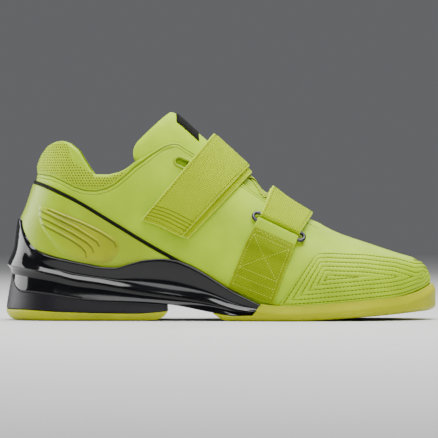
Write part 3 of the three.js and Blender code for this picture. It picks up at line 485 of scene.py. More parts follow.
def upper_finish():
    finish = Finish("smooth_upper", roughness=0.42, specular_ior_level=0.22)
    u, v = finish.surface()
    net = finish.attribute("net")
    olive = finish.attribute("olive")
    border = finish.attribute("border")
    inner, outer = border.absolute(), (border + 2.4 * MM).absolute() + 0.25 * MM
    seam = inner.least(outer)
    seam = seam + (1 - finish.attribute("edging").ramp(0.8 * MM, 1.4 * MM)) * 1.0 * MM
    patches = finish.noise(38.0, 4.0)
    grain = finish.noise(900.0, 4.0, 0.6)
    dots = hex_dots(u, v, 2.0 * MM)
    # Each perforation hole is painted dark: painted shade inside the hole.
    holes = (1 - dots.ramp(0.3 * MM, 0.6 * MM)) * net
    base = finish.mix(patches.ramp(0.3, 0.75), VOLT_DEEP, VOLT)
    netted = finish.mix(net * 0.4, base, linear(170, 186, 20))
    hole_shade_painted = finish.mix(holes * 0.85, netted, linear(78, 88, 2))
    lined = finish.mix(olive, hole_shade_painted, OLIVE)
    # Dark lines along the net border seam and its stitch row: painted shade in the seam groove.
    seam_shade_painted = finish.mix((1 - seam.ramp(0.15 * MM, 0.7 * MM)) * 0.75, lined, linear(84, 94, 2))
    finish.colour(seam_shade_painted)
    finish.roughness(0.38 + grain * 0.14 + net * 0.25 + olive * 0.3)
    height = grain * 0.1 * MM - holes * 0.5 * MM - (1 - seam.ramp(0.0, 0.8 * MM)) * 0.5 * MM
    finish.bump(height)
    return finish.material


def overlay_finish():
    finish = Finish("overlay_skin", roughness=0.42, specular_ior_level=0.22)
    inset = finish.attribute("inset")
    patches = finish.noise(45.0, 4.0)
    grain = finish.noise(1100.0, 4.0, 0.6)
    away = (((inset - SEAM_START) / SEAM_PITCH + 0.5).fraction() - 0.5).absolute() * SEAM_PITCH
    # Darker lines along each stitch row: painted shade in the stitch grooves.
    groove = (1 - away.ramp(0.1 * MM, 0.75 * MM)) * inset.ramp(0.6 * MM, 1.2 * MM)
    base = finish.mix(patches.ramp(0.3, 0.75), VOLT_DEEP, VOLT)
    finish.colour(finish.mix(groove * 0.6, base, linear(118, 132, 8)))
    finish.roughness(0.36 + grain * 0.14)
    finish.bump(grain * 0.1 * MM - groove * 0.3 * MM)
    return finish.material


def plain_upper(name, base, deep, gloss, grain_depth, shine):
    finish = Finish(name, roughness=gloss, specular_ior_level=shine)
    patches = finish.noise(45.0, 4.0)
    grain = finish.noise(1100.0, 4.0, 0.6)
    finish.colour(finish.mix(patches.ramp(0.3, 0.75), deep, base))
    finish.roughness(gloss - 0.06 + grain * 0.14)
    finish.bump(grain * grain_depth * MM)
    return finish.material


def webbing_finish(name, base, deep, pitch, light=None, ribs=False, rolled=False):
    finish = Finish(name, roughness=0.75, specular_ior_level=0.12)
    u, v = finish.surface()
    weave = woven(u, v, pitch)
    patches = finish.noise(60.0, 3.0)
    fuzz = finish.noise(1500.0, 3.0)
    edge = finish.attribute("edge")
    tone = finish.mix(weave * 0.75 + patches * 0.3, deep, base)
    height = weave * 0.28 * MM + fuzz * 0.08 * MM
    if ribs:
        tip = (1 - v.ramp(14.8 * MM, 15.2 * MM)) * v.ramp(2.8 * MM, 3.2 * MM)
        # The rib valleys at the strap tip are painted darker: painted shade in the valleys.
        shaded_valley = (1 - (v * (math.pi / (2.7 * MM))).sine().absolute().ramp(0.1, 0.5)) * tip
        tone = finish.mix(shaded_valley * 0.8, tone, linear(92, 104, 2))
        height = height - shaded_valley * 0.5 * MM
    rough = 0.62 + fuzz * 0.25
    if rolled:
        roll = finish.attribute("roll")
        tone = finish.mix(roll * 0.8, tone, VOLT_DEEP)
        height, rough = height * (1 - roll * 0.8), rough - roll * 0.28
    finish.colour(finish.mix((1 - edge.ramp(0.35 * MM, 1.0 * MM)) * 0.6, tone, light or VOLT_LIGHT))
    finish.roughness(rough)
    finish.bump(height)
    return finish.material


def knit_finish(name, base, deep):
    finish = Finish(name, roughness=0.85, specular_ior_level=0.1)
    u, v = finish.surface()
    loops = hex_dots(u, v, 1.5 * MM)
    patches = finish.noise(50.0, 3.0)
    tone = finish.mix(loops.ramp(0.2 * MM, 0.8 * MM) * 0.7 + patches * 0.3, deep, base)
    finish.colour(tone)
    finish.bump(1 - loops.ramp(0.1 * MM, 0.75 * MM) * 0.25 * MM)
    return finish.material


def rubber_finish():
    finish = Finish("outsole_rubber", roughness=0.3, specular_ior_level=0.18)
    x, y, z = finish.axes(finish.place())
    patches = finish.noise(30.0, 3.0)
    scuffs = finish.noise(420.0, 5.0, 0.6)
    # Lighter towards the toe and up its top edge: painted glow of light through the translucent rubber.
    toe = x.ramp(0.06, 0.14)
    edge = z.ramp(0.012, 0.026) * toe
    base = finish.mix(patches.ramp(0.3, 0.7), (0.34, 0.37, 0.0), (0.42, 0.45, 0.0))
    toe_glow_painted = finish.mix(toe * 0.25 + edge * 0.5, base, (0.62, 0.62, 0.04))
    facing = finish.axes(finish.node("ShaderNodeNewGeometry", output="Normal"))[2]
    under = 1 - facing.ramp(-0.97, -0.9)
    wave = ((x + (y * 260.0).sine() * 1.6 * MM) * (math.pi / (3.5 * MM))).sine().absolute()
    # Darker tread grooves on the underside: painted shade in the grooves.
    tread = (1 - wave.ramp(0.12, 0.4)) * under
    finish.colour(finish.mix(tread * 0.5, toe_glow_painted, (0.17, 0.18, 0.0)))
    finish.roughness(0.24 + scuffs * 0.22)
    finish.bump(scuffs * 0.08 * MM - tread * 0.8 * MM)
    return finish.material


def gloss_finish():
    finish = Finish("cradle_gloss", roughness=0.1, specular_ior_level=0.4)
    haze = finish.noise(60.0, 4.0)
    scratches = finish.noise(700.0, 4.0, 0.7)
    finish.colour(finish.mix(haze.ramp(0.3, 0.8), linear(6, 6, 8), linear(14, 14, 18)))
    finish.roughness(0.07 + haze * 0.06 + scratches.ramp(0.55, 0.85) * 0.12)
    finish.bump(haze * 0.1 * MM)
    return finish.material


def satin_finish():
    finish = Finish("heel_block_satin", roughness=0.45, specular_ior_level=0.25)
    grain = finish.noise(1400.0, 4.0, 0.6)
    patches = finish.noise(40.0, 3.0)
    finish.colour(finish.mix(patches, linear(10, 8, 13), linear(20, 17, 25)))
    finish.roughness(0.38 + grain * 0.2)
    finish.bump(grain * 0.08 * MM)
    return finish.material


def pad_finish():
    finish = Finish("pad_moulded", roughness=0.3, specular_ior_level=0.3)
    patches = finish.noise(50.0, 3.0)
    low = finish.attribute("low")
    grain = finish.noise(1200.0, 3.0)
    x, _, z = finish.axes(finish.place())
    deep = finish.mix(patches.ramp(0.3, 0.7), (0.27, 0.32, 0.0), (0.34, 0.39, 0.0))
    base = finish.mix((x + z * 0.6).ramp(-0.093, -0.06), VOLT_DEEP, deep)
    # The low attribute is a painted shadow along the underside of each rib.
    finish.colour(finish.mix(low, base, (0.14, 0.16, 0.0)))
    finish.roughness(0.26 + grain * 0.15)
    finish.bump(grain * 0.06 * MM)
    return finish.material


def dark_edging_finish():
    finish = Finish("piping_weave", roughness=0.7, specular_ior_level=0.15)
    u, v = finish.surface()
    weave = woven(u, v, 0.5 * MM)
    finish.colour(finish.mix(weave, linear(6, 7, 2), linear(22, 25, 8)))
    finish.bump(weave * 0.15 * MM)
    return finish.material


def wire_finish():
    finish = Finish("loop_wire", roughness=0.22, metallic=1.0)
    haze = finish.noise(180.0, 3.0)
    finish.colour(finish.mix(haze, linear(46, 46, 50), linear(96, 96, 102)))
    finish.roughness(0.18 + haze * 0.16)
    finish.bump(haze * 0.05 * MM)
    return finish.material


def thread_finish(name, base, deep):
    finish = Finish(name, roughness=0.6, specular_ior_level=0.15)
    twist = finish.noise(2400.0, 2.0)
    finish.colour(finish.mix(twist, deep, base))
    finish.bump(twist * 0.1 * MM)
    return finish.material


def label_finish():
    finish = Finish("label_woven", roughness=0.7, specular_ior_level=0.15)
    u, v = finish.surface()
    weave = woven(u, v, 0.4 * MM)
    finish.colour(finish.mix(weave, linear(6, 7, 4), linear(22, 24, 14)))
    finish.bump(weave * 0.12 * MM)
    return finish.material


def floor_finish():
    finish = Finish("studio_floor", roughness=0.6)
    wide = finish.noise(6.0, 3.0)
    finish.colour(finish.mix(wide, (0.6, 0.6, 0.595), (0.65, 0.65, 0.645)))
    return finish.material


# What every piece is made with
def deselect():
    if bpy.context.object and bpy.context.object.mode != "OBJECT":
        bpy.ops.object.mode_set(mode="OBJECT")
    bpy.ops.object.select_all(action="DESELECT")


def only(piece):
    deselect()
    piece.select_set(True)
    bpy.context.view_layer.objects.active = piece


def apply_modifier(piece, kind, **settings):
    only(piece)
    modifier = piece.modifiers.new(kind.title(), kind)
    for key, value in settings.items():
        setattr(modifier, key, value)
    bpy.ops.object.modifier_apply(modifier=modifier.name)


def finish_piece(piece, material, nodes=(), angle=35):
    only(piece)
    bpy.ops.object.shade_smooth_by_angle(angle=math.radians(angle))
    piece.data.materials.clear()
    piece.data.materials.append(material)
    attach(piece, "root")
    if nodes:
        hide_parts(*nodes)
    return piece


def edge_distance(points):
    """Distance in metres from each point of a grid to the grid's nearest side."""
    down = np.linalg.norm(np.diff(points, axis=0), axis=-1)
    over = np.linalg.norm(np.diff(points, axis=1), axis=-1)
    v = np.concatenate([np.zeros((1, points.shape[1])), np.cumsum(down, 0)])
    u = np.concatenate([np.zeros((points.shape[0], 1)), np.cumsum(over, 1)], 1)
    return u, v, np.minimum(np.minimum(u, u[:, -1:] - u), np.minimum(v, v[-1:] - v))


def grid_piece(name, points, attributes=(), uv=None):
    """A sheet through a grid of points, rows by columns, with surface coordinates in metres."""
    rows, columns = points.shape[:2]
    deselect()
    bpy.ops.mesh.primitive_grid_add(x_subdivisions=columns - 1, y_subdivisions=rows - 1, size=1)
    piece = bpy.context.object
    piece.name = piece.data.name = name
    mesh = piece.data
    mesh.vertices.foreach_set("co", points.reshape(-1))
    u, v, edge = edge_distance(points)
    if uv is not None:
        u, v = uv
    corner = np.empty(len(mesh.loops), np.int32)
    mesh.loops.foreach_get("vertex_index", corner)
    coordinates = np.stack([u.reshape(-1)[corner], v.reshape(-1)[corner]], -1)
    mesh.uv_layers[0].name = "UVMap"
    mesh.uv_layers[0].data.foreach_set("uv", coordinates.reshape(-1))
    for key, values in {"edge": edge, **dict(attributes)}.items():
        layer = mesh.attributes.new(key, "FLOAT", "POINT")
        values = np.broadcast_to(values, (rows, columns)).reshape(-1)
        layer.data.foreach_set("value", values.astype(np.float32))
    mesh.update()
    return piece


def face_outwards(piece, normals):
    """Turns the sheet's faces over where they point against the given normals."""
    mesh = piece.data
    found = np.empty(len(mesh.vertices) * 3, np.float32)
    mesh.vertices.foreach_get("normal", found)
    if (found.reshape(-1, 3) * normals.reshape(-1, 3)).sum() < 0:
        only(piece)
        bpy.ops.object.mode_set(mode="EDIT")
        bpy.ops.mesh.select_all(action="SELECT")
        bpy.ops.mesh.flip_normals()
        bpy.ops.object.mode_set(mode="OBJECT")


def weigh(piece, name, weights):
    """Stores a weight from 0 to 1 at each point of a piece."""
    group = piece.vertex_groups.new(name=name)
    for index, weight in enumerate(np.asarray(weights).reshape(-1)):
        group.add([index], float(weight), "REPLACE")


def thicken(piece, thickness, offset, weights=None):
    settings = {"thickness": thickness, "offset": offset, "use_quality_normals": True}
    if weights is not None:
        weigh(piece, "thickness", weights)
        settings["vertex_group"] = "thickness"
    apply_modifier(piece, "SOLIDIFY", **settings)


def round_edges(piece, width, segments=2, angle=50):
    apply_modifier(
        piece, "BEVEL", width=width, segments=segments, limit_method="ANGLE",
        angle_limit=math.radians(angle), use_clamp_overlap=True,
    )


def weld(piece, distance=1e-6):
    only(piece)
    bpy.ops.object.mode_set(mode="EDIT")
    bpy.ops.mesh.select_all(action="SELECT")
    bpy.ops.mesh.remove_doubles(threshold=distance)
    bpy.ops.mesh.dissolve_degenerate(threshold=distance)
    bpy.ops.object.mode_set(mode="OBJECT")


def join(pieces):
    deselect()
    for piece in pieces:
        piece.select_set(True)
    bpy.context.view_layer.objects.active = pieces[0]
    bpy.ops.object.join()
    return pieces[0]


def panel(name, w, t, offset, thickness, attributes=(), edge_round=0.3 * MM):
    """A flat overlay on the upper: its inner side at a distance from the form, with rounded edges."""
    points = form_offset(w, t, offset)
    piece = grid_piece(name, points, attributes)
    face_outwards(piece, form_normal(w, t))
    weld(piece)
    thicken(piece, thickness, 1.0)
    round_edges(piece, edge_round)
    return piece


def lengths(path):
    """Distance along a polyline to each of its points."""
    return np.concatenate([[0], np.cumsum(np.linalg.norm(np.diff(path, axis=0), axis=-1))])


def easing(count):
    """Weights of a mean over neighbours that fades out to both sides."""
    weights = np.hanning(count + 2)[1:-1]
    return weights / weights.sum()


def resample(points, count):
    """Points at equal distances along a polyline."""
    length = lengths(points)
    at = np.linspace(0, length[-1], count)
    return at_lengths(at, length, points)


def at_lengths(wanted, length, values):
    """Values along a polyline at wanted distances."""
    return np.stack([np.interp(wanted, length, values[:, k]) for k in range(values.shape[1])], -1)


def stitch_template():
    deselect()
    bpy.ops.mesh.primitive_uv_sphere_add(segments=6, ring_count=5, radius=1)
    ball = bpy.context.object
    points = np.array([v.co[:] for v in ball.data.vertices])
    faces = [tuple(f.vertices) for f in ball.data.polygons]
    bpy.data.objects.remove(ball)
    return points, faces


STITCH_POINTS, STITCH_FACES = stitch_template()


def stitches(name, seams, material, radius, pitch, length):
    """Sewn stitches along seams, each a pair of points and outward normals of a polyline."""
    points, faces = [], []
    for path, normals in seams:
        steps = lengths(path)
        if steps[-1] < 2 * pitch:
            continue
        count = int(steps[-1] / pitch)
        middles = (np.arange(count) + 0.5) * steps[-1] / count
        at = at_lengths(middles, steps, path)
        up = at_lengths(middles, steps, normals)
        onward = at_lengths(middles + length / 2, steps, path) - at_lengths(middles - length / 2, steps, path)
        onward /= np.maximum(np.linalg.norm(onward, axis=-1, keepdims=True), 1e-9)
        across = np.cross(up, onward)
        across /= np.maximum(np.linalg.norm(across, axis=-1, keepdims=True), 1e-9)
        up = np.cross(onward, across)
        shape = STITCH_POINTS * np.array([1.35 * radius, length / 2, radius])
        for k in range(count):
            base = len(points) * len(STITCH_POINTS)
            points.append(at[k] + shape @ np.stack([across[k], onward[k], up[k]]))
            faces.extend(tuple(base + i for i in face) for face in STITCH_FACES)
    mesh = bpy.data.meshes.new(name)
    mesh.from_pydata(np.concatenate(points).tolist(), [], faces)
    piece = bpy.data.objects.new(name, mesh)
    bpy.context.scene.collection.objects.link(piece)
    return finish_piece(piece, material, angle=80)


def form_seam(w, t, offset):
    """A seam that follows the form at a distance."""
    w, t = np.broadcast_arrays(np.asarray(w, float), np.asarray(t, float))
    return form_offset(w, t, offset), form_normal(w, t)


# Sole: cradle, heel block, heel lift and forefoot sole
REAR_BACK = ((0.0, 1.20), (0.06, 0.44), (0.17, 0.0), (0.5, 0.32), (0.84, 0.72), (0.94, 0.52), (1.0, 0.14),
             (1.12, 0.44), (1.35, 1.04), (1.7, 1.32), (2.15, 1.76))
REAR_SIDES = ((0.0, 0.60), (0.06, 0.16), (0.17, 0.0), (0.5, 0.36), (0.84, 0.68), (0.94, 0.48), (1.0, 0.0),
              (1.12, 0.22), (1.35, 0.46), (1.7, 0.38), (2.15, 0.30))
rear_back, rear_sides = curve(REAR_BACK), curve(REAR_SIDES)


def rear_inset(x, z):
    crest = ridge(x)
    span = np.maximum(cradle_top(x) - crest, 1e-4)
    level = np.where(z < crest, z / crest, 1 + (z - crest) / span)
    near_back = smooth(1 - x / (0.13 * LENGTH))
    return (rear_sides(level) + (rear_back(level) - rear_sides(level)) * near_back) * CRADLE_FLARE


def front_inset(x, z):
    over = z - toe_rise(x)
    under_rim = rim(x) - z
    below = np.clip(TREAD_CORNER - over, 0, None)
    corner = TREAD_CORNER - np.sqrt(np.clip(TREAD_CORNER ** 2 - below ** 2, 0, None))
    top = RIM_INSET * (0.1 + 0.9 * smooth(1 - under_rim / (1.6 * RIM_HEIGHT)))
    return np.maximum(corner, top * smooth(over / (2 * TREAD_CORNER)))


def outline(w, side):
    x, share = station(w, 0, LENGTH)
    return np.stack([x, plan_centre(x) + side * plan_half(x) * share], -1)


def inset_outline(w, side, inset):
    """Plan point of the sole outline, moved inwards."""
    step = 1e-3
    ahead = outline(np.clip(w + step, 0, 1), side) - outline(np.clip(w - step, 0, 1), side)
    ahead /= np.maximum(np.linalg.norm(ahead, axis=-1, keepdims=True), 1e-12)
    out = side * np.stack([-ahead[..., 1], ahead[..., 0]], -1)
    out[w <= 0] = (-1, 0)
    out[w >= 1] = (1, 0)
    return outline(w, side) - out * inset[..., None]


def form_at_height(w, z, side, offset):
    """Point of the form at a height, moved outwards, in part coordinates."""
    x, _ = station(w, UPPER_BACK, UPPER_FRONT)
    t = side * t_at_height(x, z - bed(x))
    point = form_point(w, t) + form_normal(w, t) * offset
    point[..., 2] = z
    return point


def sole_half(side, w, levels, bottom, top, inset, lip, cup, crest):
    """One side of a sole piece: from the middle below, up the wall, over its edge and back."""
    columns = []
    toward = np.where(w < 0.5, 1.0, -1.0)
    edge = 0.5 * MM

    def wall_point(v, extra):
        """Points of the outer wall at a share of its height, and what the rows above it start from."""
        at_w = w if levels is None else levels(w, v)
        x_row, share = station(at_w, 0, LENGTH)
        x = x_row
        for _ in range(5):
            low, high = bottom(x), top(x)
            radius = np.minimum(lip, 0.45 * np.maximum(high - low, 0))
            last = np.maximum(high - radius, low)
            if crest is None:
                z = low + (last - low) * v
            else:
                middle = np.clip(crest(x_row), low, last)
                z = np.where(v < 0.5, low + (middle - low) * 2 * v, middle + (last - middle) * (2 * v - 1))
            side_in = inset(x_row, z) + extra
            flat = inset_outline(at_w, side, side_in)
            x = flat[:, 0]
        centre_x = x_row + toward * side_in * (1 - share)
        centre = np.stack([centre_x, plan_centre(centre_x), z], -1)
        return np.concatenate([flat, z[:, None]], -1), centre, high, radius, side_in, at_w

    foot, centre, *_ = wall_point(0.0, edge)
    for reach in (0.0, 0.5, 0.9):
        columns.append(centre * (1 - reach) + foot * reach)
    for v in np.concatenate([[0.0, 0.03], np.linspace(0.07, 0.5, 14), np.linspace(0.5, 1, 16)[1:]]):
        wall, centre, high, radius, side_in, at_w = wall_point(v, edge * float(np.clip(1 - v / 0.03, 0, 1)))
        columns.append(wall)
    wall_top = columns[-1]
    if cup is None:
        for angle in np.linspace(0, math.pi / 2, 5)[1:]:
            z = high - radius + radius * math.sin(angle)
            flat = inset_outline(at_w, side, side_in + radius * (1 - math.cos(angle)))
            columns.append(np.concatenate([flat, z[:, None]], -1))
        centre = centre.copy()
        centre[:, 2] = high
        for reach in (0.6, 0.0):
            columns.append(centre * (1 - reach) + columns[-1] * reach)
    else:
        inner = form_at_height(at_w, high - radius, side, GAP)
        across = inner[:, :2] - wall_top[:, :2]
        width = np.linalg.norm(across, axis=-1, keepdims=True)
        across /= np.maximum(width, 1e-9)
        round_in = np.minimum(radius, 0.45 * width[:, 0])
        for angle in np.linspace(0, math.pi / 2, 6)[1:]:
            shift = round_in * (1 - math.cos(angle))
            z = high - radius + radius * math.sin(angle)
            columns.append(np.concatenate([wall_top[:, :2] + across * shift[:, None], z[:, None]], -1))
        for angle in np.linspace(math.pi / 2, 0, 5):
            shift = round_in * (1 - math.cos(angle))
            z = high - radius + radius * math.sin(angle)
            columns.append(np.concatenate([inner[:, :2] - across * shift[:, None], z[:, None]], -1))
        x_form, _ = station(at_w, UPPER_BACK, UPPER_FRONT)
        floor = np.minimum(bed(x_form) - cup, high - radius - 0.1 * MM)
        for share_down in (0.5, 1.0):
            z = high - radius + (floor - high + radius) * share_down
            columns.append(form_at_height(at_w, z, side, GAP))
        centre = np.stack([x_form, plan_centre(x_form), floor], -1)
        columns.append(columns[-1] * 0.4 + centre * 0.6)
        columns.append(centre)
    return np.stack(columns, 1)


def sole_piece(name, w, bottom, top, inset, lip, cup=None, levels=None, crest=None):
    """Closed sole piece between two height lines, from its two sides."""
    halves = []
    for side in (-1, 1):
        points = sole_half(side, w, levels, bottom, top, inset, lip, cup, crest) + FRAME_SHIFT
        halves.append(grid_piece(name, points))
    piece = join(halves)
    weld(piece, 2e-5)
    only(piece)
    bpy.ops.object.mode_set(mode="EDIT")
    bpy.ops.mesh.select_all(action="SELECT")
    bpy.ops.mesh.fill_holes(sides=0)
    bpy.ops.mesh.select_all(action="SELECT")
    bpy.ops.mesh.normals_make_consistent(inside=False)
    bpy.ops.object.mode_set(mode="OBJECT")
    return piece


def heel_stations(end, count=60):
    """Stations from the back of the heel to an end, closer together round the heel."""
    last = float(station_of(end, 0, LENGTH))
    return np.concatenate([np.linspace(0, HEEL_PART, 36)[:-1], np.linspace(HEEL_PART, last, count)])


def cradle_end(w, v):
    """The front tip slants: its lower edge ends further back."""
    end = CRADLE_TIP_UNDER + (CRADLE_TIP - CRADLE_TIP_UNDER) * v
    return w * float(station_of(end, 0, LENGTH)) / w[-1]


def lift_end(w, v):
    """The front of the heel lift is rounded off to the floor."""
    back = np.interp(v, (0, 0.22, 0.55, 1), (-0.045, -0.022, -0.008, 0))
    return w * float(station_of(HEEL_FRONT + back * LENGTH, 0, LENGTH)) / w[-1]


def forefoot_top(x):
    wedge = cradle_bottom(x) - GAP
    start, end = CRADLE_TIP_UNDER + GAP, CRADLE_TIP + 2 * GAP
    ramp = np.interp(x, (start, end), (0, 1))
    return np.where(x < start, wedge, wedge * (1 - ramp) + rim(x) * ramp)


def forefoot_bottom(x):
    back, front = FOREFOOT_BACK, FOREFOOT_BACK + 0.03 * LENGTH
    share = np.clip((front - x) / (front - back), 0, 1)
    return toe_rise(x) + share * (cradle_bottom(x) - GAP - toe_rise(x) - 0.1 * MM)


def make_sole(gloss, satin, rubber):
    cradle = sole_piece(
        "cradle_moulding", heel_stations(CRADLE_TIP, 120), cradle_bottom, cradle_top, rear_inset, 1.1 * MM,
        cup=GAP, levels=cradle_end, crest=ridge)
    finish_piece(cradle, gloss, ["heel_cradle"])
    block = sole_piece(
        "heel_block_moulding", heel_stations(HEEL_FRONT - GAP), lambda x: lift_top(x) + GAP,
        lambda x: cradle_bottom(x) - GAP, rear_inset, 0.5 * MM)
    finish_piece(block, satin, ["heel_block"])
    lift = sole_piece(
        "heel_lift_rubber", heel_stations(HEEL_FRONT), lambda x: 0 * x, lift_top, rear_inset, 0.5 * MM,
        levels=lift_end)
    finish_piece(lift, rubber, ["outsole_heel"])
    past_tip = CRADLE_TIP + 2 * MM
    x = np.concatenate([
        np.linspace(FOREFOOT_BACK, CRADLE_TIP_UNDER, 26)[:-1],
        np.linspace(CRADLE_TIP_UNDER, past_tip, 14)[:-1],
        np.linspace(past_tip, LENGTH - TOE_ROUND, 40)[:-1]])
    w = np.concatenate([station_of(x, 0, LENGTH), np.linspace(1 - TOE_PART, 1, 70)])
    front = sole_piece(
        "forefoot_sole_rubber", w, forefoot_bottom, forefoot_top, front_inset, 0.8 * MM, cup=GAP)
    finish_piece(front, rubber, ["outsole_forefoot"])


# Side view lines of the upper, as shares of the length and upper heights over the bed
OPENING = (
    (0.0, 0.62), (0.0725, 0.665), (0.0865, 0.752), (0.099, 0.798), (0.115, 0.82), (0.132, 0.827),
    (0.148, 0.815), (0.17, 0.772), (0.184, 0.713), (0.197, 0.66), (0.207, 0.631), (0.241, 0.635),
    (0.265, 0.655), (0.283, 0.686), (0.298, 0.724), (0.322, 0.767), (0.355, 0.835), (0.371, 0.865),
    (0.387, 0.884), (0.403, 0.886), (0.4135, 0.872), (0.532, 0.748), (0.599, 0.66), (0.63, 0.55), (0.74, 0.4),
)
THROAT = (
    (0.0, 0.8), (0.585, 0.8), (0.6, 0.205), (0.64, 0.165), (0.68, 0.125), (0.705, 0.1), (0.721, 0.07),
    (0.729, 0.035), (0.731, 0.0),
)
THROAT_FRONT = 0.731 * LENGTH
# Lower border of the net in the side view, in millimetres
NET_BORDER = (
    (0.0, 101.0), (23.5, 99.7), (31.9, 98.3), (38.2, 95.5), (48.0, 90.6), (55.0, 88.5), (62.0, 88.2),
    (69.0, 89.9), (74.6, 92.7), (81.6, 98.3), (88.6, 104.6), (95.6, 109.5), (100.5, 113.2), (108.7, 116.9),
    (113.5, 117.6),
)
NET_FRONT = 114 * MM
NET_END = 80 * MM
BORDER_ROOM = 1.6 * MM
THROAT_SEAM = 98 * MM
# Smooth roll at the back of the collar: its front edge by height, and where it ends
ROLL_Z = np.array([100.4, 103.9, 107.4, 110.9, 116.5, 121.4, 130.0]) * MM
ROLL_X = np.array([59.2, 50.8, 46.6, 44.2, 43.8, 41.0, 40.0]) * MM
ROLL_FRONT = 66 * MM
ROLL_FOOT = 99.5 * MM


def opening_edge(w):
    """Unsigned t of the edge of collar and throat at each w; 0 where the upper closes over the foot."""
    line = line_through(upper_rows(OPENING))
    t_line = on_line(w, line)
    x, _ = station(w, UPPER_BACK, UPPER_FRONT)
    half = np.interp(x / LENGTH, *np.array(THROAT).T) * BALL_WIDTH
    edge = np.minimum(t_line, t_at_reach(w, half))
    return np.where(x >= THROAT_FRONT, 0.0, edge)


def smooth_edge(w):
    """The opening edge with its corners eased."""
    dense = np.linspace(0, 1, 3001)
    edge = opening_edge(dense)
    padded = np.concatenate([edge[30:0:-1], edge, edge[-2:-32:-1]])
    eased = np.convolve(padded, easing(29), "same")[30:-30]
    x, _ = station(dense, UPPER_BACK, UPPER_FRONT)
    share = smooth((THROAT_FRONT - x) / (0.012 * LENGTH))
    eased = np.where(x >= THROAT_FRONT, 0, eased * np.sqrt(share))
    return np.interp(w, dense, eased)


def side_view(points):
    """Distance from the back and height of points in the frame."""
    shifted = points - FRAME_SHIFT
    return shifted[..., 0], shifted[..., 2]


def distance_to(points, line):
    """Distance in metres from points to a polyline, both in the side view."""
    x, z = side_view(points)
    best = np.full(x.shape, 1.0)
    for (ax, az), (bx, bz) in zip(line[:-1], line[1:]):
        dx, dz = bx - ax, bz - az
        share = np.clip(((x - ax) * dx + (z - az) * dz) / (dx * dx + dz * dz), 0, 1)
        best = np.minimum(best, np.hypot(x - ax - share * dx, z - az - share * dz))
    return best


EDGE_STEPS = np.array([4.2, 3.4, 2.7, 2.1, 1.6, 1.15, 0.75, 0.45, 0.2, 0.0]) * MM


def upper_half(side, w, columns):
    """w and t of one side of the upper, with fine steps next to its free edge."""
    edge = smooth_edge(w)
    dense = np.linspace(0, 1, 240)
    t = 1 - (1 - edge[:, None]) * dense[None, :]
    points = form_point(np.broadcast_to(w[:, None], t.shape), side * t)
    steps = np.linalg.norm(np.diff(points, axis=1), axis=-1)
    length = np.concatenate([np.zeros((len(w), 1)), np.cumsum(steps, 1)], 1)
    whole = length[:, -1]
    low = np.linspace(0, 1, columns - len(EDGE_STEPS) + 1)[:-1]
    target = np.concatenate([
        (whole - EDGE_STEPS[0] - 0.001)[:, None] * low, whole[:, None] - EDGE_STEPS], 1)
    share = np.stack([np.interp(row, line, dense) for row, line in zip(target, length)])
    t = 1 - (1 - edge[:, None]) * share
    from_edge = whole[:, None] - target
    return np.broadcast_to(w[:, None], t.shape), side * t, from_edge


def padding(x, over):
    """Depth of the padding inside the collar."""
    high = smooth((over / UPPER_HEIGHT - 0.4) / 0.2)
    behind = 1 - smooth((x / LENGTH - 0.2) / 0.065)
    return COLLAR_PADDING * high * behind


def curl(distance, radius):
    """How far a rounded edge has turned in at a distance from it."""
    inside = np.clip(1 - distance / np.maximum(radius, 1e-9), 0, 1)
    return radius * (1 - np.sqrt(np.clip(1 - inside ** 2, 0, None)))


def net_share(x, z, from_edge, to_net, inside):
    """How much of the upper's surface is perforated, from 0 to 1."""
    past_roll = smooth((x - np.interp(z, ROLL_Z, ROLL_X)) / MM)
    in_roll = past_roll * smooth((ROLL_FRONT - x) / (4 * MM)) * (z > ROLL_FOOT)
    net = np.where(inside, smooth((to_net - BORDER_ROOM) / (0.5 * MM)), 0)
    net = net * smooth((from_edge - 1.2 * MM) / (0.5 * MM))
    return net * (1 - in_roll) * (1 - smooth((x - NET_END) / (6 * MM)))


def border_distance(x, from_edge, to_net, above, open_here):
    """Signed distance to the seam that runs along the net and then along the throat."""
    border = np.where(above, 1, -1) * to_net
    throat = smooth((x - THROAT_SEAM) / (10 * MM))
    border = border * (1 - throat) + (BORDER_ROOM - from_edge) * throat
    return border * open_here - 20 * MM * (1 - open_here)


def olive_share(w, x, over):
    """How much of the surface is the olive strip at the front of the toe, from 0 to 1."""
    overlay_top = np.interp(x / LENGTH, *np.array(OVERLAY_TOP).T)
    over_toe = over / UPPER_HEIGHT > overlay_top - 0.015
    return np.maximum(smooth((w - OVERLAY_END) / 0.006), over_toe) * smooth((x / LENGTH - 0.945) / 0.004)


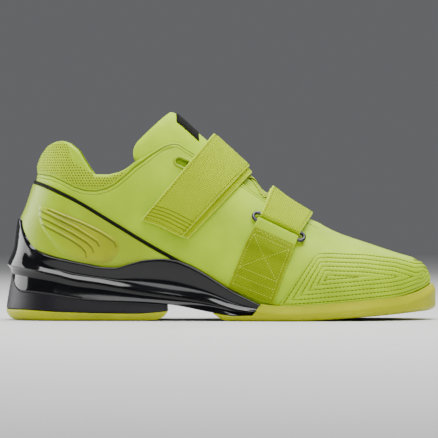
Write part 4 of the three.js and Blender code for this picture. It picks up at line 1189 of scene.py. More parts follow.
def make_upper(skin, lining):
    front_w = float(station_of(THROAT_FRONT, UPPER_BACK, UPPER_FRONT))
    near_front = float(station_of(0.72 * LENGTH, UPPER_BACK, UPPER_FRONT))
    w = np.concatenate([
        np.linspace(0, HEEL_PART, 50)[:-1], np.linspace(HEEL_PART, near_front, 170)[:-1],
        np.linspace(near_front, front_w, 14)[:-1], np.linspace(front_w, 1, 90)])
    x_w, _ = station(w, UPPER_BACK, UPPER_FRONT)
    net_line = np.array(NET_BORDER) * MM
    plan = form_point(w, -0.7 + 0 * w)[:, :2]
    around = lengths(plan)
    halves = []
    for side in (-1, 1):
        ww, t, from_edge = upper_half(side, w, 72)
        base = form_offset(ww, t, 0)
        x, z = side_view(base)
        over = z - bed(x_w)[:, None]
        open_here = smooth((THROAT_FRONT - x_w) / 0.006)[:, None]
        to_net = distance_to(base, net_line)
        above = z > np.interp(x, net_line[:, 0], net_line[:, 1])
        inside = above & (x < NET_FRONT)
        puff = np.where(inside, 1.0 * MM * smooth(to_net / (6 * MM)), 0)
        puff = puff - 0.45 * MM * smooth(1 - to_net / BORDER_ROOM)
        pad = padding(x_w[:, None], over)
        radius = (0.7 * MM + 0.45 * pad) * open_here
        turn = curl(from_edge, radius)
        points = form_offset(ww, t, puff * smooth(from_edge / 0.003 + (x < 0.06) * 1.0) - turn)
        uv = (np.broadcast_to(around[:, None], t.shape), z)
        marks = {
            "net": net_share(x, z, from_edge, to_net, inside),
            "border": border_distance(x, from_edge, to_net, above, open_here),
            "edging": from_edge,
            "olive": olive_share(ww, x, over),
        }
        half = grid_piece("upper_skin", points, marks, uv)
        face_outwards(half, form_normal(ww, t))
        wall = np.maximum(UPPER_WALL + pad - 1.6 * turn, 0.8 * MM)
        weigh(half, "depth", wall / (UPPER_WALL + COLLAR_PADDING))
        halves.append(half)
    piece = join(halves)
    weld(piece, 2e-5)
    piece.data.materials.append(skin)
    piece.data.materials.append(lining)
    apply_modifier(
        piece, "SOLIDIFY", thickness=UPPER_WALL + COLLAR_PADDING, offset=-1.0, vertex_group="depth",
        material_offset=1, use_quality_normals=True)
    cut_slot(piece)
    only(piece)
    bpy.ops.object.shade_smooth_by_angle(angle=math.radians(50))
    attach(piece, "root")
    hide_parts("upper")


SLOT_ENDS = ((0.402, 0.775), (0.45, 0.745))
SLOT_RADIUS = 0.0032


def slot_outline(radius, steps=14):
    """Outline of the lacing slot in the side view: two half circles."""
    a, b = upper_rows(SLOT_ENDS)
    angle = math.atan2(b[1] - a[1], b[0] - a[0])
    ends = []
    for middle, quarter in ((a, math.pi / 2), (b, -math.pi / 2)):
        turn = angle + quarter + np.linspace(0, math.pi, steps)
        ends.append(middle + radius * np.stack([np.cos(turn), np.sin(turn)], -1))
    return np.concatenate(ends)


def cut_slot(piece):
    """Oblong lacing slot through both eyestays."""
    outline = slot_outline(SLOT_RADIUS - 0.6 * MM)
    deselect()
    bpy.ops.mesh.primitive_circle_add(vertices=len(outline), radius=1, fill_type="NGON")
    tool = bpy.context.object
    for vertex, (x, z) in zip(tool.data.vertices, outline):
        vertex.co = (x + FRAME_SHIFT[0], -0.1, z)
    only(tool)
    bpy.ops.object.mode_set(mode="EDIT")
    bpy.ops.mesh.select_all(action="SELECT")
    bpy.ops.mesh.extrude_region_move(TRANSFORM_OT_translate={"value": (0, 0.2, 0)})
    bpy.ops.mesh.select_all(action="SELECT")
    bpy.ops.mesh.normals_make_consistent(inside=False)
    bpy.ops.object.mode_set(mode="OBJECT")
    apply_modifier(piece, "BOOLEAN", operation="DIFFERENCE", object=tool, solver="EXACT")
    bpy.data.objects.remove(tool)


def make_slot_rims(material):
    """Rolled edge round each lacing slot."""
    outline = slot_outline(SLOT_RADIUS - 0.2 * MM, 24)
    w, t = on_side(outline[:, 0], outline[:, 1])
    for side, name in ((-1, "slot_rim_outer_side"), (1, "slot_rim_inner_side")):
        path = form_offset(w, side * t, 0.15 * MM)
        rim = tube(name, path, form_normal(w, side * t), 0.95 * MM, 0.75 * MM, 10, closed=True)
        finish_piece(rim, material, ["upper"], 80)


# Top edge of the tongue in the side view, in millimetres, and the side edge's shares below it
TONGUE_TOP = (
    (114.0, 146.0), (113.2, 145.2), (111.5, 143.6), (108.5, 141.0), (103.0, 136.2), (96.0, 129.4),
    (90.5, 123.8), (87.8, 119.8), (86.8, 115.5), (87.8, 110.8), (91.0, 107.0),
)
TONGUE_LOW = ((0.29, 0.72), (0.308, 0.735), (0.37, 0.66), (0.5, 0.52), (0.62, 0.4), (0.73, 0.36))


TONGUE_ROWS = 110
TONGUE_COLUMNS = 81


def tongue_grid():
    """w and t of the tongue: from its top edge to under the vamp, and from side to side."""
    top = np.array(TONGUE_TOP) * MM
    dense = resample(top, 900)
    top_w, top_t = on_side(dense[:, 0], dense[:, 1])
    top_t[0] = 0
    reach = lengths(form_point(top_w, top_t))
    reach /= reach[-1]
    low_line = line_through(upper_rows(TONGUE_LOW))
    a = np.linspace(-1, 1, TONGUE_COLUMNS)
    start_w = np.interp(np.abs(a), reach, top_w)
    start_t = np.interp(np.abs(a), reach, top_t)
    start_w = np.convolve(np.pad(start_w, 5, mode="edge"), easing(7), "same")[5:-5]
    end_w = float(station_of(0.752 * LENGTH, UPPER_BACK, UPPER_FRONT))
    u = np.linspace(0, 1, TONGUE_ROWS)[:, None] ** 1.25
    w = start_w[None, :] * (1 - u) + end_w * u
    low_t = on_line(w, low_line)
    ratio = start_t[None, :] / np.maximum(low_t[:1], 1e-6)
    blend = smooth(u * 2.0)
    t = (ratio * (1 - blend) + np.abs(a)[None, :] * blend) * low_t
    return w, np.sign(a)[None, :] * np.clip(t, 0, 0.84)


def make_tongue(skin):
    w, t = tongue_grid()
    outside = UPPER_WALL + TONGUE_ROOM
    middle = form_offset(w, t, -outside - TONGUE_THICKNESS / 2)
    _, _, edge = edge_distance(middle)
    piece = grid_piece("tongue_pad", middle)
    face_outwards(piece, form_normal(w, t))
    pillow = 0.3 + 0.7 * np.sqrt(np.clip(1 - (1 - np.clip(edge / 0.0065, 0, 1)) ** 2, 0, 1))
    thicken(piece, TONGUE_THICKNESS, 0.0, pillow)
    round_edges(piece, 0.9 * MM, 3, 60)
    return finish_piece(piece, skin, ["tongue"], 60)


PATCH_BACK = 118.0 * MM
PATCH_FRONT = 133.5 * MM
PATCH_SIDES = 0.2


def make_label(material, thread):
    """Plain dark patch on the middle of the tongue."""
    start = float(station_of(PATCH_BACK, UPPER_BACK, UPPER_FRONT))
    end = float(station_of(PATCH_FRONT, UPPER_BACK, UPPER_FRONT))
    u = np.linspace(start, end, 34)[:, None]
    v = np.linspace(-PATCH_SIDES, PATCH_SIDES, 60)[None, :]
    w, t = np.broadcast_arrays(u, v)
    offset = -UPPER_WALL - TONGUE_ROOM + 0.05 * MM
    piece = panel("tongue_patch", w, t, offset, 0.55 * MM, edge_round=0.2 * MM)
    finish_piece(piece, material, ["tongue"], 50)
    border = rounded_border(w, t, offset + 0.6 * MM, 1.3 * MM)
    stitches("tongue_patch_stitching", [border], thread, 0.2 * MM, 2.2 * MM, 1.5 * MM)


def rounded_border(w, t, offset, inset):
    """Closed seam inside the border of a patch of the form."""
    points, normals = form_offset(w, t, offset), form_normal(w, t)
    u, v, _ = edge_distance(points)
    rows, columns = w.shape
    i = int(np.argmax(v[:, columns // 2] > inset))
    j = int(np.argmax(u[rows // 2] > inset))
    last_i, last_j = rows - 1 - i, columns - 1 - j
    order = [(i, k) for k in range(j, last_j + 1)]
    order += [(k, last_j) for k in range(i, last_i + 1)]
    order += [(last_i, k) for k in range(last_j, j - 1, -1)]
    order += [(k, j) for k in range(last_i, i - 1, -1)]
    index = tuple(np.array(order).T)
    return points[index], normals[index]


def make_insole(lining):
    toe_start = 1 - TOE_PART
    w = np.concatenate([
        np.linspace(0, HEEL_PART, 20)[:-1], np.linspace(HEEL_PART, toe_start, 50)[:-1],
        np.linspace(toe_start, 1, 30)])
    x, _ = station(w, UPPER_BACK, UPPER_FRONT)
    z = bed(x) + INSOLE_THICKNESS
    sides = [form_at_height(w, z, side, -UPPER_WALL - 2 * GAP) for side in (-1, 1)]
    share = np.linspace(0, 1, 25)[None, :, None]
    points = sides[0][:, None] * (1 - share) + sides[1][:, None] * share
    dip = 0.8 * MM * (1 - (2 * share[..., 0] - 1) ** 2)
    points[..., 2] -= dip
    piece = grid_piece("sock_liner", points + FRAME_SHIFT)
    face_outwards(piece, np.broadcast_to(np.array([0, 0, 1.0]), points.shape))
    weld(piece)
    thicken(piece, INSOLE_THICKNESS - 1.2 * MM, -1.0)
    round_edges(piece, 0.7 * MM, 2)
    return finish_piece(piece, lining, ["insole"])


# Heel counter, piping and ribbed pads
def counter_band(low, high, rows, w):
    """The unsigned t of a band between two side view lines, at each w."""
    t_low, t_high = on_line(w, low), on_line(w, high)
    share = np.linspace(0, 1, rows)
    return t_low[:, None] * (1 - share) + t_high[:, None] * share


def round_heel(end, count=90):
    """w from a place on the outer side round the heel to the same place inside, and the side of each."""
    last = float(station_of(end, UPPER_BACK, UPPER_FRONT))
    w = np.concatenate([np.linspace(last, HEEL_PART, count)[:-1], np.linspace(HEEL_PART, 0, 30)])
    return np.concatenate([w, w[-2::-1]]), np.concatenate([-np.ones(len(w)), np.ones(len(w) - 1)])


def make_counter(skin):
    w, side = round_heel(0.405 * LENGTH)
    low = lambda x: cradle_top(x) - 0.8 * MM
    high = lambda x: piping_line(x) - PIPING_WIDTH / 2 - GAP
    t = counter_band(low, lambda x: np.maximum(high(x), low(x) + 0.2 * MM), 30, w) * side[:, None]
    ww = np.broadcast_to(w[:, None], t.shape)
    piece = panel("heel_counter_panel", ww, t, GAP, 1.5 * MM)
    finish_piece(piece, skin, ["heel_counter"])


def make_piping(material):
    w, side = round_heel(0.412 * LENGTH, 140)
    t = on_line(w, piping_line) * side
    centre = form_offset(w, t, 1.1 * MM)
    out = form_normal(w, t)
    piece = tube("heel_piping_roll", centre, out, 0.4 * PIPING_WIDTH, 0.95 * MM, 14)
    finish_piece(piece, material, ["heel_piping"], 70)


def tube(name, path, up, half_width, half_height, sides, closed=False):
    """Round or oval cord along a path, with the direction that its height points in."""
    if closed:
        onward = np.roll(path, -1, 0) - np.roll(path, 1, 0)
    else:
        onward = np.gradient(path, axis=0)
    onward /= np.linalg.norm(onward, axis=-1, keepdims=True)
    across = np.cross(onward, up)
    across /= np.linalg.norm(across, axis=-1, keepdims=True)
    up = np.cross(across, onward)
    angle = np.linspace(0, 2 * math.pi, sides + 1)
    ring = (across[:, None] * (np.cos(angle) * half_width)[None, :, None]
            + up[:, None] * (np.sin(angle) * half_height)[None, :, None])
    points = path[:, None] + ring
    if closed:
        points = np.concatenate([points, points[:1]])
    piece = grid_piece(name, points)
    face_outwards(piece, np.concatenate([ring, ring[:1]]) if closed else ring)
    weld(piece)
    if not closed:
        only(piece)
        bpy.ops.object.mode_set(mode="EDIT")
        bpy.ops.mesh.select_all(action="SELECT")
        bpy.ops.mesh.fill_holes(sides=0)
        bpy.ops.object.mode_set(mode="OBJECT")
    return piece


# Outline and ribs of a heel pad in the side view, in millimetres
PAD = (
    (23.9, 79.1), (40.5, 73.4), (52.7, 68.6), (65.0, 62.6), (71.1, 58.9), (77.0, 54.8), (78.6, 50.3),
    (76.6, 44.9), (72.6, 40.5), (65.0, 38.9), (52.7, 40.6), (43.5, 42.6), (36.8, 47.3), (30.9, 55.2),
    (26.0, 62.6), (23.5, 69.9),
)
RIBS = (
    ((31.0, 75.9), (40.5, 71.8), (52.7, 66.9), (65.0, 61.0), (71.1, 57.1), (75.2, 54.2), (76.3, 51.5)),
    ((25.5, 75.4), (31.9, 72.4), (46.6, 65.0), (57.6, 58.3), (63.1, 54.6), (64.7, 52.0)),
    ((25.5, 71.2), (34.3, 66.9), (46.6, 60.1), (56.4, 54.0), (60.1, 50.3), (60.7, 47.7)),
    ((27.4, 66.1), (37.4, 60.7), (46.6, 55.2), (52.7, 50.9), (55.8, 47.3), (56.1, 44.6)),
)


def rounded_outline(points, count, ease):
    """Closed outline with its corners eased."""
    closed = np.concatenate([points, points[:1]])
    dense = resample(closed, count + 1)[:-1]
    around = np.concatenate([dense[-ease:], dense, dense[:ease]])
    return np.stack([np.convolve(around[:, k], easing(ease), "same")[ease:-ease] for k in range(2)], -1)


def make_pads(material):
    border = rounded_outline(np.array(PAD) * MM, 260, 15)
    centre = border.mean(0)
    share = np.linspace(1, 0, 90)
    xz = centre + (border - centre)[:, None] * share[None, :, None]
    xz = np.concatenate([xz, xz[:1]])
    sides = ((-1, "heel_pad_lateral", "pad_outer_side"), (1, "heel_pad_medial", "pad_inner_side"))
    for side, node, name in sides:
        w, t = on_side(xz[..., 0], xz[..., 1])
        base = form_offset(w, side * t, 0)
        from_side = np.linalg.norm(xz - np.concatenate([border, border[:1]])[:, None], axis=-1)
        rib_to, shadow = np.full(from_side.shape, 1.0), np.full(from_side.shape, 1.0)
        for ends in RIBS:
            rib_to = np.minimum(rib_to, distance_to(base, np.array(ends) * MM))
            shadow = np.minimum(shadow, distance_to(base, (np.array(ends) - (0.5, 1.1)) * MM))
        rise = 0.85 * MM * smooth(from_side / 0.0035) + 0.5 * MM * smooth((0.0009 - rib_to) / 0.0008)
        groove = 0.35 * MM * smooth((0.0009 - shadow) / 0.0008) * (rib_to > 0.0005)
        points = form_offset(w, side * t, 1.95 * MM + rise - groove)
        # low marks a painted shadow just below and behind each rib, which the pad finish mixes to dark.
        low = smooth((0.0008 - shadow) / 0.0007) * smooth((rib_to - 0.0004) / 0.0004)
        piece = grid_piece(name, points, {"low": np.clip(low, 0, 1)})
        face_outwards(piece, form_normal(w, side * t))
        weld(piece, 1e-5)
        thicken(piece, 0.9 * MM, -1.0)
        finish_piece(piece, material, [node], 60)


# Toe overlays with their rows of stitching
OVERLAY_END = 0.962
OVERLAY_LEFT = ((0.633, -0.2), (0.635, 0.04), (0.654, 0.11), (0.682, 0.22), (0.706, 0.305), (0.722, 0.337))
OVERLAY_TOP = ((0.722, 0.337), (0.745, 0.337), (0.83, 0.31), (0.9, 0.272), (0.945, 0.232), (1.02, 0.2))


def overlay_point(u, v, side):
    """w and t on a toe overlay: u from its back edge to the toe, v from the sole up to its top edge."""
    left = np.array(OVERLAY_LEFT)
    top = np.array(OVERLAY_TOP)
    end = float(station(np.array(OVERLAY_END), UPPER_BACK, UPPER_FRONT)[0])
    x = np.full(np.broadcast(u, v).shape, 0.8 * LENGTH)
    for _ in range(8):
        low = (rim(x + 2 * RIM_INSET) + 0.2 * MM - bed(x)) / UPPER_HEIGHT
        high = np.interp(x / LENGTH, top[:, 0], top[:, 1])
        up = low + (high - low) * v
        start = np.interp(up, left[:, 1], left[:, 0]) * LENGTH
        x = start + (end - start) * np.sin(u * math.pi / 2) ** 0.9
    w = station_of(x, UPPER_BACK, UPPER_FRONT)
    z = bed(x) + up * UPPER_HEIGHT
    return w, side * t_at_height(x, z - bed(x), 0.985)


SEAM_START = 1.7 * MM
SEAM_PITCH = 3.6 * MM


def overlay_loops(reach, height):
    """Nested seams of an overlay in its own u and v, each up to where the overlay gets narrow."""
    at = np.linspace(0, 1, len(height))
    for k in range(12):
        inset = SEAM_START + SEAM_PITCH * k
        du, last, corner = (float(np.interp(v, reach, at)) for v in (inset, reach[-1] - inset, inset + 0.005))
        wide = height > 2.0 * inset + 0.0008
        if not wide[int(corner * len(at)) + 2]:
            return
        end = min(at[wide].max(), last)
        u = np.linspace(corner, end, 90)
        v = inset / np.interp(u, at, height)
        side = np.linspace(1 - v[0] - 0.12, v[0] + 0.05, 30)
        tip = np.linspace(v[-1], 1 - v[-1], 12)[1:-1]
        yield (np.concatenate([np.full(30, du), u, np.full(10, end), u[::-1], [du]]),
               np.concatenate([side, v, tip, 1 - v[::-1], side[:1]]))


def make_overlays(skin, thread):
    seams = []
    sides = (
        (-1, "toe_overlay_lateral", "overlay_outer_side"),
        (1, "toe_overlay_medial", "overlay_inner_side"),
    )
    for side, node, name in sides:
        u = np.linspace(0, 1, 170)[:, None]
        v = np.linspace(0, 1, 70)[None, :]
        w, t = overlay_point(u, v, side)
        base = form_offset(w, t, 0)
        reach = lengths(base[:, base.shape[1] // 2])
        height = np.linalg.norm(np.diff(base, axis=1), axis=-1).sum(1)
        from_ends = np.minimum(reach, reach[-1] - reach)[:, None]
        metric = np.minimum(from_ends, np.minimum(v, 1 - v) * height[:, None])
        ripple = np.cos((metric - SEAM_START) / SEAM_PITCH * 2 * math.pi) * smooth(metric / 0.0015)
        piece = panel(
            name, w, t, GAP - 0.05 * MM - 0.2 * MM * ripple, 0.0012, attributes={"inset": metric})
        finish_piece(piece, skin, [node], 60)
        for uu, vv in overlay_loops(reach, height):
            seams.append(form_seam(*overlay_point(uu, vv, side), GAP + 1.0 * MM))
    stitches("toe_overlay_stitching", seams, thread, 0.3 * MM, 2.7 * MM, 1.9 * MM)


# Loops, straps and webbing tabs
RING_LATERAL = ((0.582, 0.529), (0.678, 0.431))
RING_MEDIAL = ((0.37, 0.575), (0.474, 0.51))
RING_LIFT = STRAP_BASE + (2 * STRAP_LAYER + STRAP_SLIT) / 2


class Loop:
    """Place of a wire loop: its middle and the directions along its bars, up the side and outwards."""

    def __init__(self, ends, side):
        (ax, az), (bx, bz) = upper_rows(ends)
        x = np.array([ax, bx, (ax + bx) / 2])
        z = np.array([az, bz, (az + bz) / 2])
        w, t = on_side(x, z)
        point = form_offset(w, side * t, 0)
        normal = form_normal(w, side * t)[2]
        bar = point[1] - point[0]
        self.length = float(np.linalg.norm(bar))
        self.bar = bar / self.length
        out = normal - self.bar * (normal @ self.bar)
        self.out = out / np.linalg.norm(out)
        up = np.cross(self.out, self.bar)
        self.up = up if up[2] > 0 else -up
        self.centre = point[2] + self.out * RING_LIFT

    def at(self, bar, up, out):
        bar, up, out = np.broadcast_arrays(*(np.asarray(v, float)[..., None] for v in (bar, up, out)))
        return self.centre + self.bar * bar + self.up * up + self.out * out


def make_ring(loop, name, node, material):
    bend = RING_SPACING / 2
    angles = np.linspace(math.pi / 2, -math.pi / 2, 20)
    straight = np.linspace(loop.length / 2, -loop.length / 2, 12)[1:-1]
    parts = []
    for end in (1, -1):
        parts.append(loop.at(end * (loop.length / 2 + np.cos(angles) * bend), end * np.sin(angles) * bend, 0))
        parts.append(loop.at(end * straight, -end * bend, 0))
    path = np.concatenate(parts)
    piece = tube(name, path, np.broadcast_to(loop.out, path.shape), RING_WIRE, RING_WIRE, 16, closed=True)
    finish_piece(piece, material, [node], 80)


# Straps in the side view: where each edge crosses the instep, and its ends
STRAP_UPPER = {
    "back": {
        "over": 0.4736, "inner": 0.4736,
        "tip": (0.3136, 0.375), "under": (0.3136, 0.375), "ring": (0.36, 0.44)},
    "front": {
        "over": 0.557, "inner": 0.568,
        "tip": (0.4085, 0.314), "under": (0.4224, 0.312), "ring": (0.455, 0.37)},
}
STRAP_LOWER = {
    "back": {
        "over": 0.611, "inner": 0.611,
        "tip": (0.54, 0.28), "under": (0.505, 0.05), "ring": (0.572, 0.47)},
    "front": {
        "over": 0.706, "inner": 0.706,
        "tip": (0.638, 0.19), "under": (0.612, 0.02), "ring": (0.655, 0.35)},
}
STRAP_ROWS = 70
STRAP_COLUMNS = 29
TURN_ROWS = 13
TURN_RADIUS = 2.15 * MM
STRAP_IN_LOOP = 1.6 * MM


def strap_edge(edge, end, over):
    """w against unsigned t down one edge of a strap, from the instep to its end."""
    x0 = edge[over] * LENGTH
    z0 = bed(x0) + form_top(x0)
    (x1, z1), = upper_rows([edge[end]])
    h = np.linspace(0, 1, 800) ** 1.6
    w, t = on_side(x0 + (x1 - x0) * h, z0 + (z1 - z0) * h)
    t = np.maximum.accumulate(t)
    t[0] = 0
    return w, t


def strap_half(edges, end, over, side, loop):
    """w and t of half a strap, from the instep down to its end or to its loop."""
    found = []
    for key in ("back", "front"):
        w, t = strap_edge(edges[key], end, over)
        if loop is not None:
            up = (form_offset(w, side * t, RING_LIFT) - loop.centre) @ loop.up
            stop = int(np.argmax(up < RING_SPACING / 2))
            w, t = w[:stop + 1], t[:stop + 1]
        found.append((w, t))
    g = np.linspace(0, 1, STRAP_ROWS)
    q = np.linspace(0, 1, STRAP_COLUMNS)
    w_edges, t_edges = [], []
    for w, t in found:
        t_here = g * t[-1]
        w_edges.append(np.interp(t_here, t + np.arange(len(t)) * 1e-12, w))
        t_edges.append(t_here)
    ww = w_edges[0][:, None] * (1 - q) + w_edges[1][:, None] * q
    tt = t_edges[0][:, None] * (1 - q) + t_edges[1][:, None] * q
    return ww, side * tt


def strap_rows(edges, end, over, side, offset, loop=None):
    """Points and normals of the middle of half a strap layer."""
    w, t = strap_half(edges, end, over, side, loop)
    return form_offset(w, t, offset), form_normal(w, t)


def across_loop(points, loop, room):
    """Places along a loop's bar for the columns of a ribbon, in the ribbon's own direction."""
    direction = 1 if (points[-1, -1] - points[-1, 0]) @ loop.bar > 0 else -1
    return np.linspace(-0.5, 0.5, points.shape[1]) * (loop.length - room) * direction


def to_loop(points, normals, loop, bar, out):
    """Bends the end rows of a layer to lie flat against the loop's bar."""
    target = loop.at(bar, RING_SPACING / 2, out)
    k = smooth((np.linspace(0, 1, STRAP_ROWS) - 0.45) / 0.55)[:, None, None]
    turned = normals * (1 - k) + loop.out * k
    return points + (target - points[-1]) * k, turned / np.linalg.norm(turned, axis=-1, keepdims=True)


def make_strap(name, node, edges, loop, ring_side, material, thread):
    """One strap: its tip on the far side, over the instep, round its loop, and back under itself."""
    inner_offset = STRAP_BASE + STRAP_LAYER / 2
    outer_offset = inner_offset + STRAP_LAYER + STRAP_SLIT
    far = -ring_side
    outer_far = strap_rows(edges, "tip", "over", far, outer_offset)
    outer_near = strap_rows(edges, "ring", "over", ring_side, outer_offset, loop)
    inner_near = strap_rows(edges, "ring", "inner", ring_side, inner_offset, loop)
    inner_far = strap_rows(edges, "under", "inner", far, inner_offset)
    bar = across_loop(outer_near[0], loop, STRAP_IN_LOOP)
    outer_near = to_loop(*outer_near, loop, bar, TURN_RADIUS)
    inner_near = to_loop(*inner_near, loop, bar, -TURN_RADIUS)
    turn, turn_out = [], []
    for angle in np.linspace(0, math.pi, TURN_ROWS + 2)[1:-1]:
        down, out = math.sin(angle), math.cos(angle)
        turn.append(loop.at(bar, RING_SPACING / 2 - TURN_RADIUS * down, TURN_RADIUS * out))
        turn_out.append(np.broadcast_to(-loop.up * down + loop.out * out, (STRAP_COLUMNS, 3)))
    points = np.concatenate([
        outer_far[0][:0:-1], outer_near[0], turn, inner_near[0][::-1], inner_far[0][1:]])
    normals = np.concatenate([
        outer_far[1][:0:-1], outer_near[1], turn_out, -inner_near[1][::-1], -inner_far[1][1:]])
    eased = points.copy()
    for i in range(3):
        for j in range(STRAP_COLUMNS):
            eased[3:-3, j, i] = np.convolve(points[:, j, i], easing(7), "same")[3:-3]
    at_turn = 2 * STRAP_ROWS + TURN_ROWS // 2
    from_turn = np.arange(len(points)) - at_turn
    keep = np.exp(-(from_turn / 14.0) ** 4)[:, None, None]
    points = eased * (1 - keep) + points * keep
    piece = grid_piece(name, points)
    face_outwards(piece, normals)
    _, _, edge = edge_distance(points)
    near_turn = np.exp(-(from_turn / 16.0) ** 4)[:, None]
    full = (1 - near_turn) + 0.9 * near_turn
    soft = 0.55 + 0.45 * np.sqrt(smooth(edge / 0.0035))
    sewn_in = 1 - 0.2 * smooth(1 - np.abs(edge - 0.0026) / 0.0009)
    weights = full * soft * sewn_in
    thicken(piece, STRAP_LAYER, 0.0, weights)
    round_edges(piece, 0.45 * MM, 2, 60)
    finish_piece(piece, material, [node], 70)
    sewn = slice(0, at_turn - 9)
    seam = ribbon_seam(points[sewn], normals[sewn], weights[sewn], 1.9 * MM)
    stitches(name + "_stitching", [seam], thread, 0.24 * MM, 2.1 * MM, 1.5 * MM)


def ribbon_seam(points, out, weights, inset):
    """Seam down one side of a ribbon's outer face, across its tip and up the other side."""
    face = points + out * weights[..., None] * STRAP_LAYER / 2
    u, v, _ = edge_distance(points)
    rows, columns = points.shape[:2]
    first = int(np.argmax(v[:, columns // 2] > inset))
    share = inset / u[:, -1]
    places = [(i, share[i]) for i in range(rows - 1, first - 1, -1)]
    places += [(first, across) for across in np.linspace(share[first], 1 - share[first], 40)[1:-1]]
    places += [(i, 1 - share[i]) for i in range(first, rows)]
    path, ups = [], []
    for i, across in places:
        column = across * (columns - 1)
        j = int(min(column, columns - 2))
        part = column - j
        path.append(face[i, j] * (1 - part) + face[i, j + 1] * part)
        ups.append(out[i, j] * (1 - part) + out[i, j + 1] * part)
    return np.array(path), np.array(ups)


TAB_LATERAL = (((0.5, -0.02), (0.612, -0.02)), ((0.589, 0.6), (0.686, 0.52)))
TAB_MEDIAL = (((0.345, 0.1), (0.45, 0.1)), ((0.375, 0.6), (0.479, 0.54)))


TAB_ROWS = 60
TAB_COLUMNS = 27
TAB_THICKNESS = 1.5 * MM
TAB_IN_LOOP = 1.2 * MM


def make_tab(name, node, loop, side, rows, bottom, material, thread):
    """Webbing tab: from the sole up in front of the lower bar, over it and a short tail down behind."""
    turn_radius = RING_WIRE + TAB_THICKNESS / 2 + 0.05 * MM
    low, high = upper_rows(rows[0]), upper_rows(rows[1])
    base_offset = GAP + TAB_THICKNESS / 2
    h = np.linspace(0, 1, 400)
    lines = []
    for k in (0, 1):
        x = low[k, 0] + (high[k, 0] - low[k, 0]) * h
        z = low[k, 1] + (high[k, 1] - low[k, 1]) * h
        w, t = on_side(x, z)
        up = (form_offset(w, side * t, RING_LIFT) - loop.centre) @ loop.up
        over_sole = z > bottom(x)
        start = int(np.argmax(over_sole))
        stop = int(np.argmax(up > -RING_SPACING / 2))
        lines.append((x[start:stop + 1], z[start:stop + 1]))
    q = np.linspace(0, 1, TAB_COLUMNS)
    g = np.linspace(0, 1, TAB_ROWS)
    edges = [np.stack([np.interp(g, np.linspace(0, 1, len(x)), v) for v in (x, z)], -1) for x, z in lines]
    xz = edges[0][:, None] * (1 - q)[None, :, None] + edges[1][:, None] * q[None, :, None]
    w, t = on_side(xz[..., 0], xz[..., 1])
    t = side * t
    normals = form_normal(w, t)
    back = form_offset(w, t, base_offset)
    bar = across_loop(back, loop, TAB_IN_LOOP)
    lower_bar = -RING_SPACING / 2

    def bend(points, out):
        """Brings the top rows to the loop's lower bar."""
        target = loop.at(bar, lower_bar, out)
        k = smooth((g - 0.55) / 0.45)[:, None, None]
        return points + (target - points[-1]) * k, normals * (1 - k) + loop.out * k

    from_top = lengths(back[::-1, TAB_COLUMNS // 2])[::-1]
    fold = int(np.argmax(from_top < 0.014))
    lifted = base_offset + (TAB_THICKNESS + 0.1 * MM) * smooth((0.020 - from_top) / 0.006)[:, None]
    back, back_out = bend(back, -turn_radius)
    front, front_out = bend(form_offset(w, t, lifted), turn_radius)
    turn, turn_out = [], []
    for angle in np.linspace(0, math.pi, 13)[1:-1]:
        up, out = math.sin(angle), -math.cos(angle)
        turn.append(loop.at(bar, lower_bar + turn_radius * up, turn_radius * out))
        turn_out.append(np.broadcast_to(loop.up * up + loop.out * out, (TAB_COLUMNS, 3)))
    points = np.concatenate([front, turn[::-1], back[fold:][::-1]])
    outs = np.concatenate([front_out, turn_out[::-1], -back_out[fold:][::-1]])
    roll = np.ones(len(points))
    roll[:TAB_ROWS] = smooth((0.0062 - from_top) / 0.0008)
    piece = grid_piece(name, points, {"roll": roll[:, None]})
    face_outwards(piece, outs)
    _, _, edge = edge_distance(points)
    weights = (0.6 + 0.4 * np.sqrt(smooth(edge / 0.0018))) * (1 + 0.25 * roll[:, None])
    thicken(piece, TAB_THICKNESS, 0.0, weights)
    round_edges(piece, 0.35 * MM, 2, 60)
    finish_piece(piece, material, [node], 70)
    face = (front + front_out * (TAB_THICKNESS / 2 + 0.02 * MM))[::-1]
    seams = tab_seams(face, front_out[::-1], from_top[0])
    stitches(name + "_stitching", seams, thread, 0.26 * MM, 1.9 * MM, 1.45 * MM)


def tab_seams(face, outs, length):
    """Sewing of a tab: zigzag under the loop, box with a cross, side seams and cross seams."""
    width = np.linalg.norm(face[0, -1] - face[0, 0])
    side = 2.4 * MM / width
    zigzag = np.arange(17)
    lines = [np.stack([side + (1 - 2 * side) * zigzag / 16, 0.0078 + 0.0013 * (zigzag % 2)], -1)]
    top, bottom = 0.0115, min(0.0115 + 0.8 * width, length - 0.002)
    if bottom > top + 0.006:
        box = np.array([(side, top), (1 - side, top), (1 - side, bottom), (side, bottom), (side, top)])
        cross = [np.array([(a, top), (1 - a, bottom)]) for a in (side, 1 - side)]
        lines += [box, *cross]
        for share in (side, 1 - side):
            lines.append(np.array([(share, bottom), (share, length - 0.0012)]))
        for down in np.arange(bottom + 0.006, length - 0.002, 0.006):
            lines.append(np.array([(side, down), (1 - side, down)]))
    return [seam_on(face, outs, line) for line in lines]


def seam_on(face, outs, line):
    """Seam on a grid along places given as share across and distance down it."""
    steps = np.linspace(0, 1, 40)[:, None]
    line = np.concatenate([a + (b - a) * steps for a, b in zip(line[:-1], line[1:])])
    rows, columns = face.shape[:2]
    down = lengths(face[:, columns // 2])
    i = np.clip(np.interp(line[:, 1], down, np.arange(rows)), 0, rows - 1.001)
    j = np.clip(line[:, 0] * (columns - 1), 0, columns - 1.001)
    i0, j0 = i.astype(int), j.astype(int)
    fi, fj = (i - i0)[:, None], (j - j0)[:, None]

    def pick(grid):
        first = grid[i0, j0] * (1 - fj) + grid[i0, j0 + 1] * fj
        second = grid[i0 + 1, j0] * (1 - fj) + grid[i0 + 1, j0 + 1] * fj
        return first * (1 - fi) + second * fi

    return pick(face), pick(outs)


LACE_CROSSINGS = 3
LACE_FRONT = 0.63 * LENGTH
LACE_PITCH = 0.056 * LENGTH
LACE_REACH = 0.145 * BALL_WIDTH


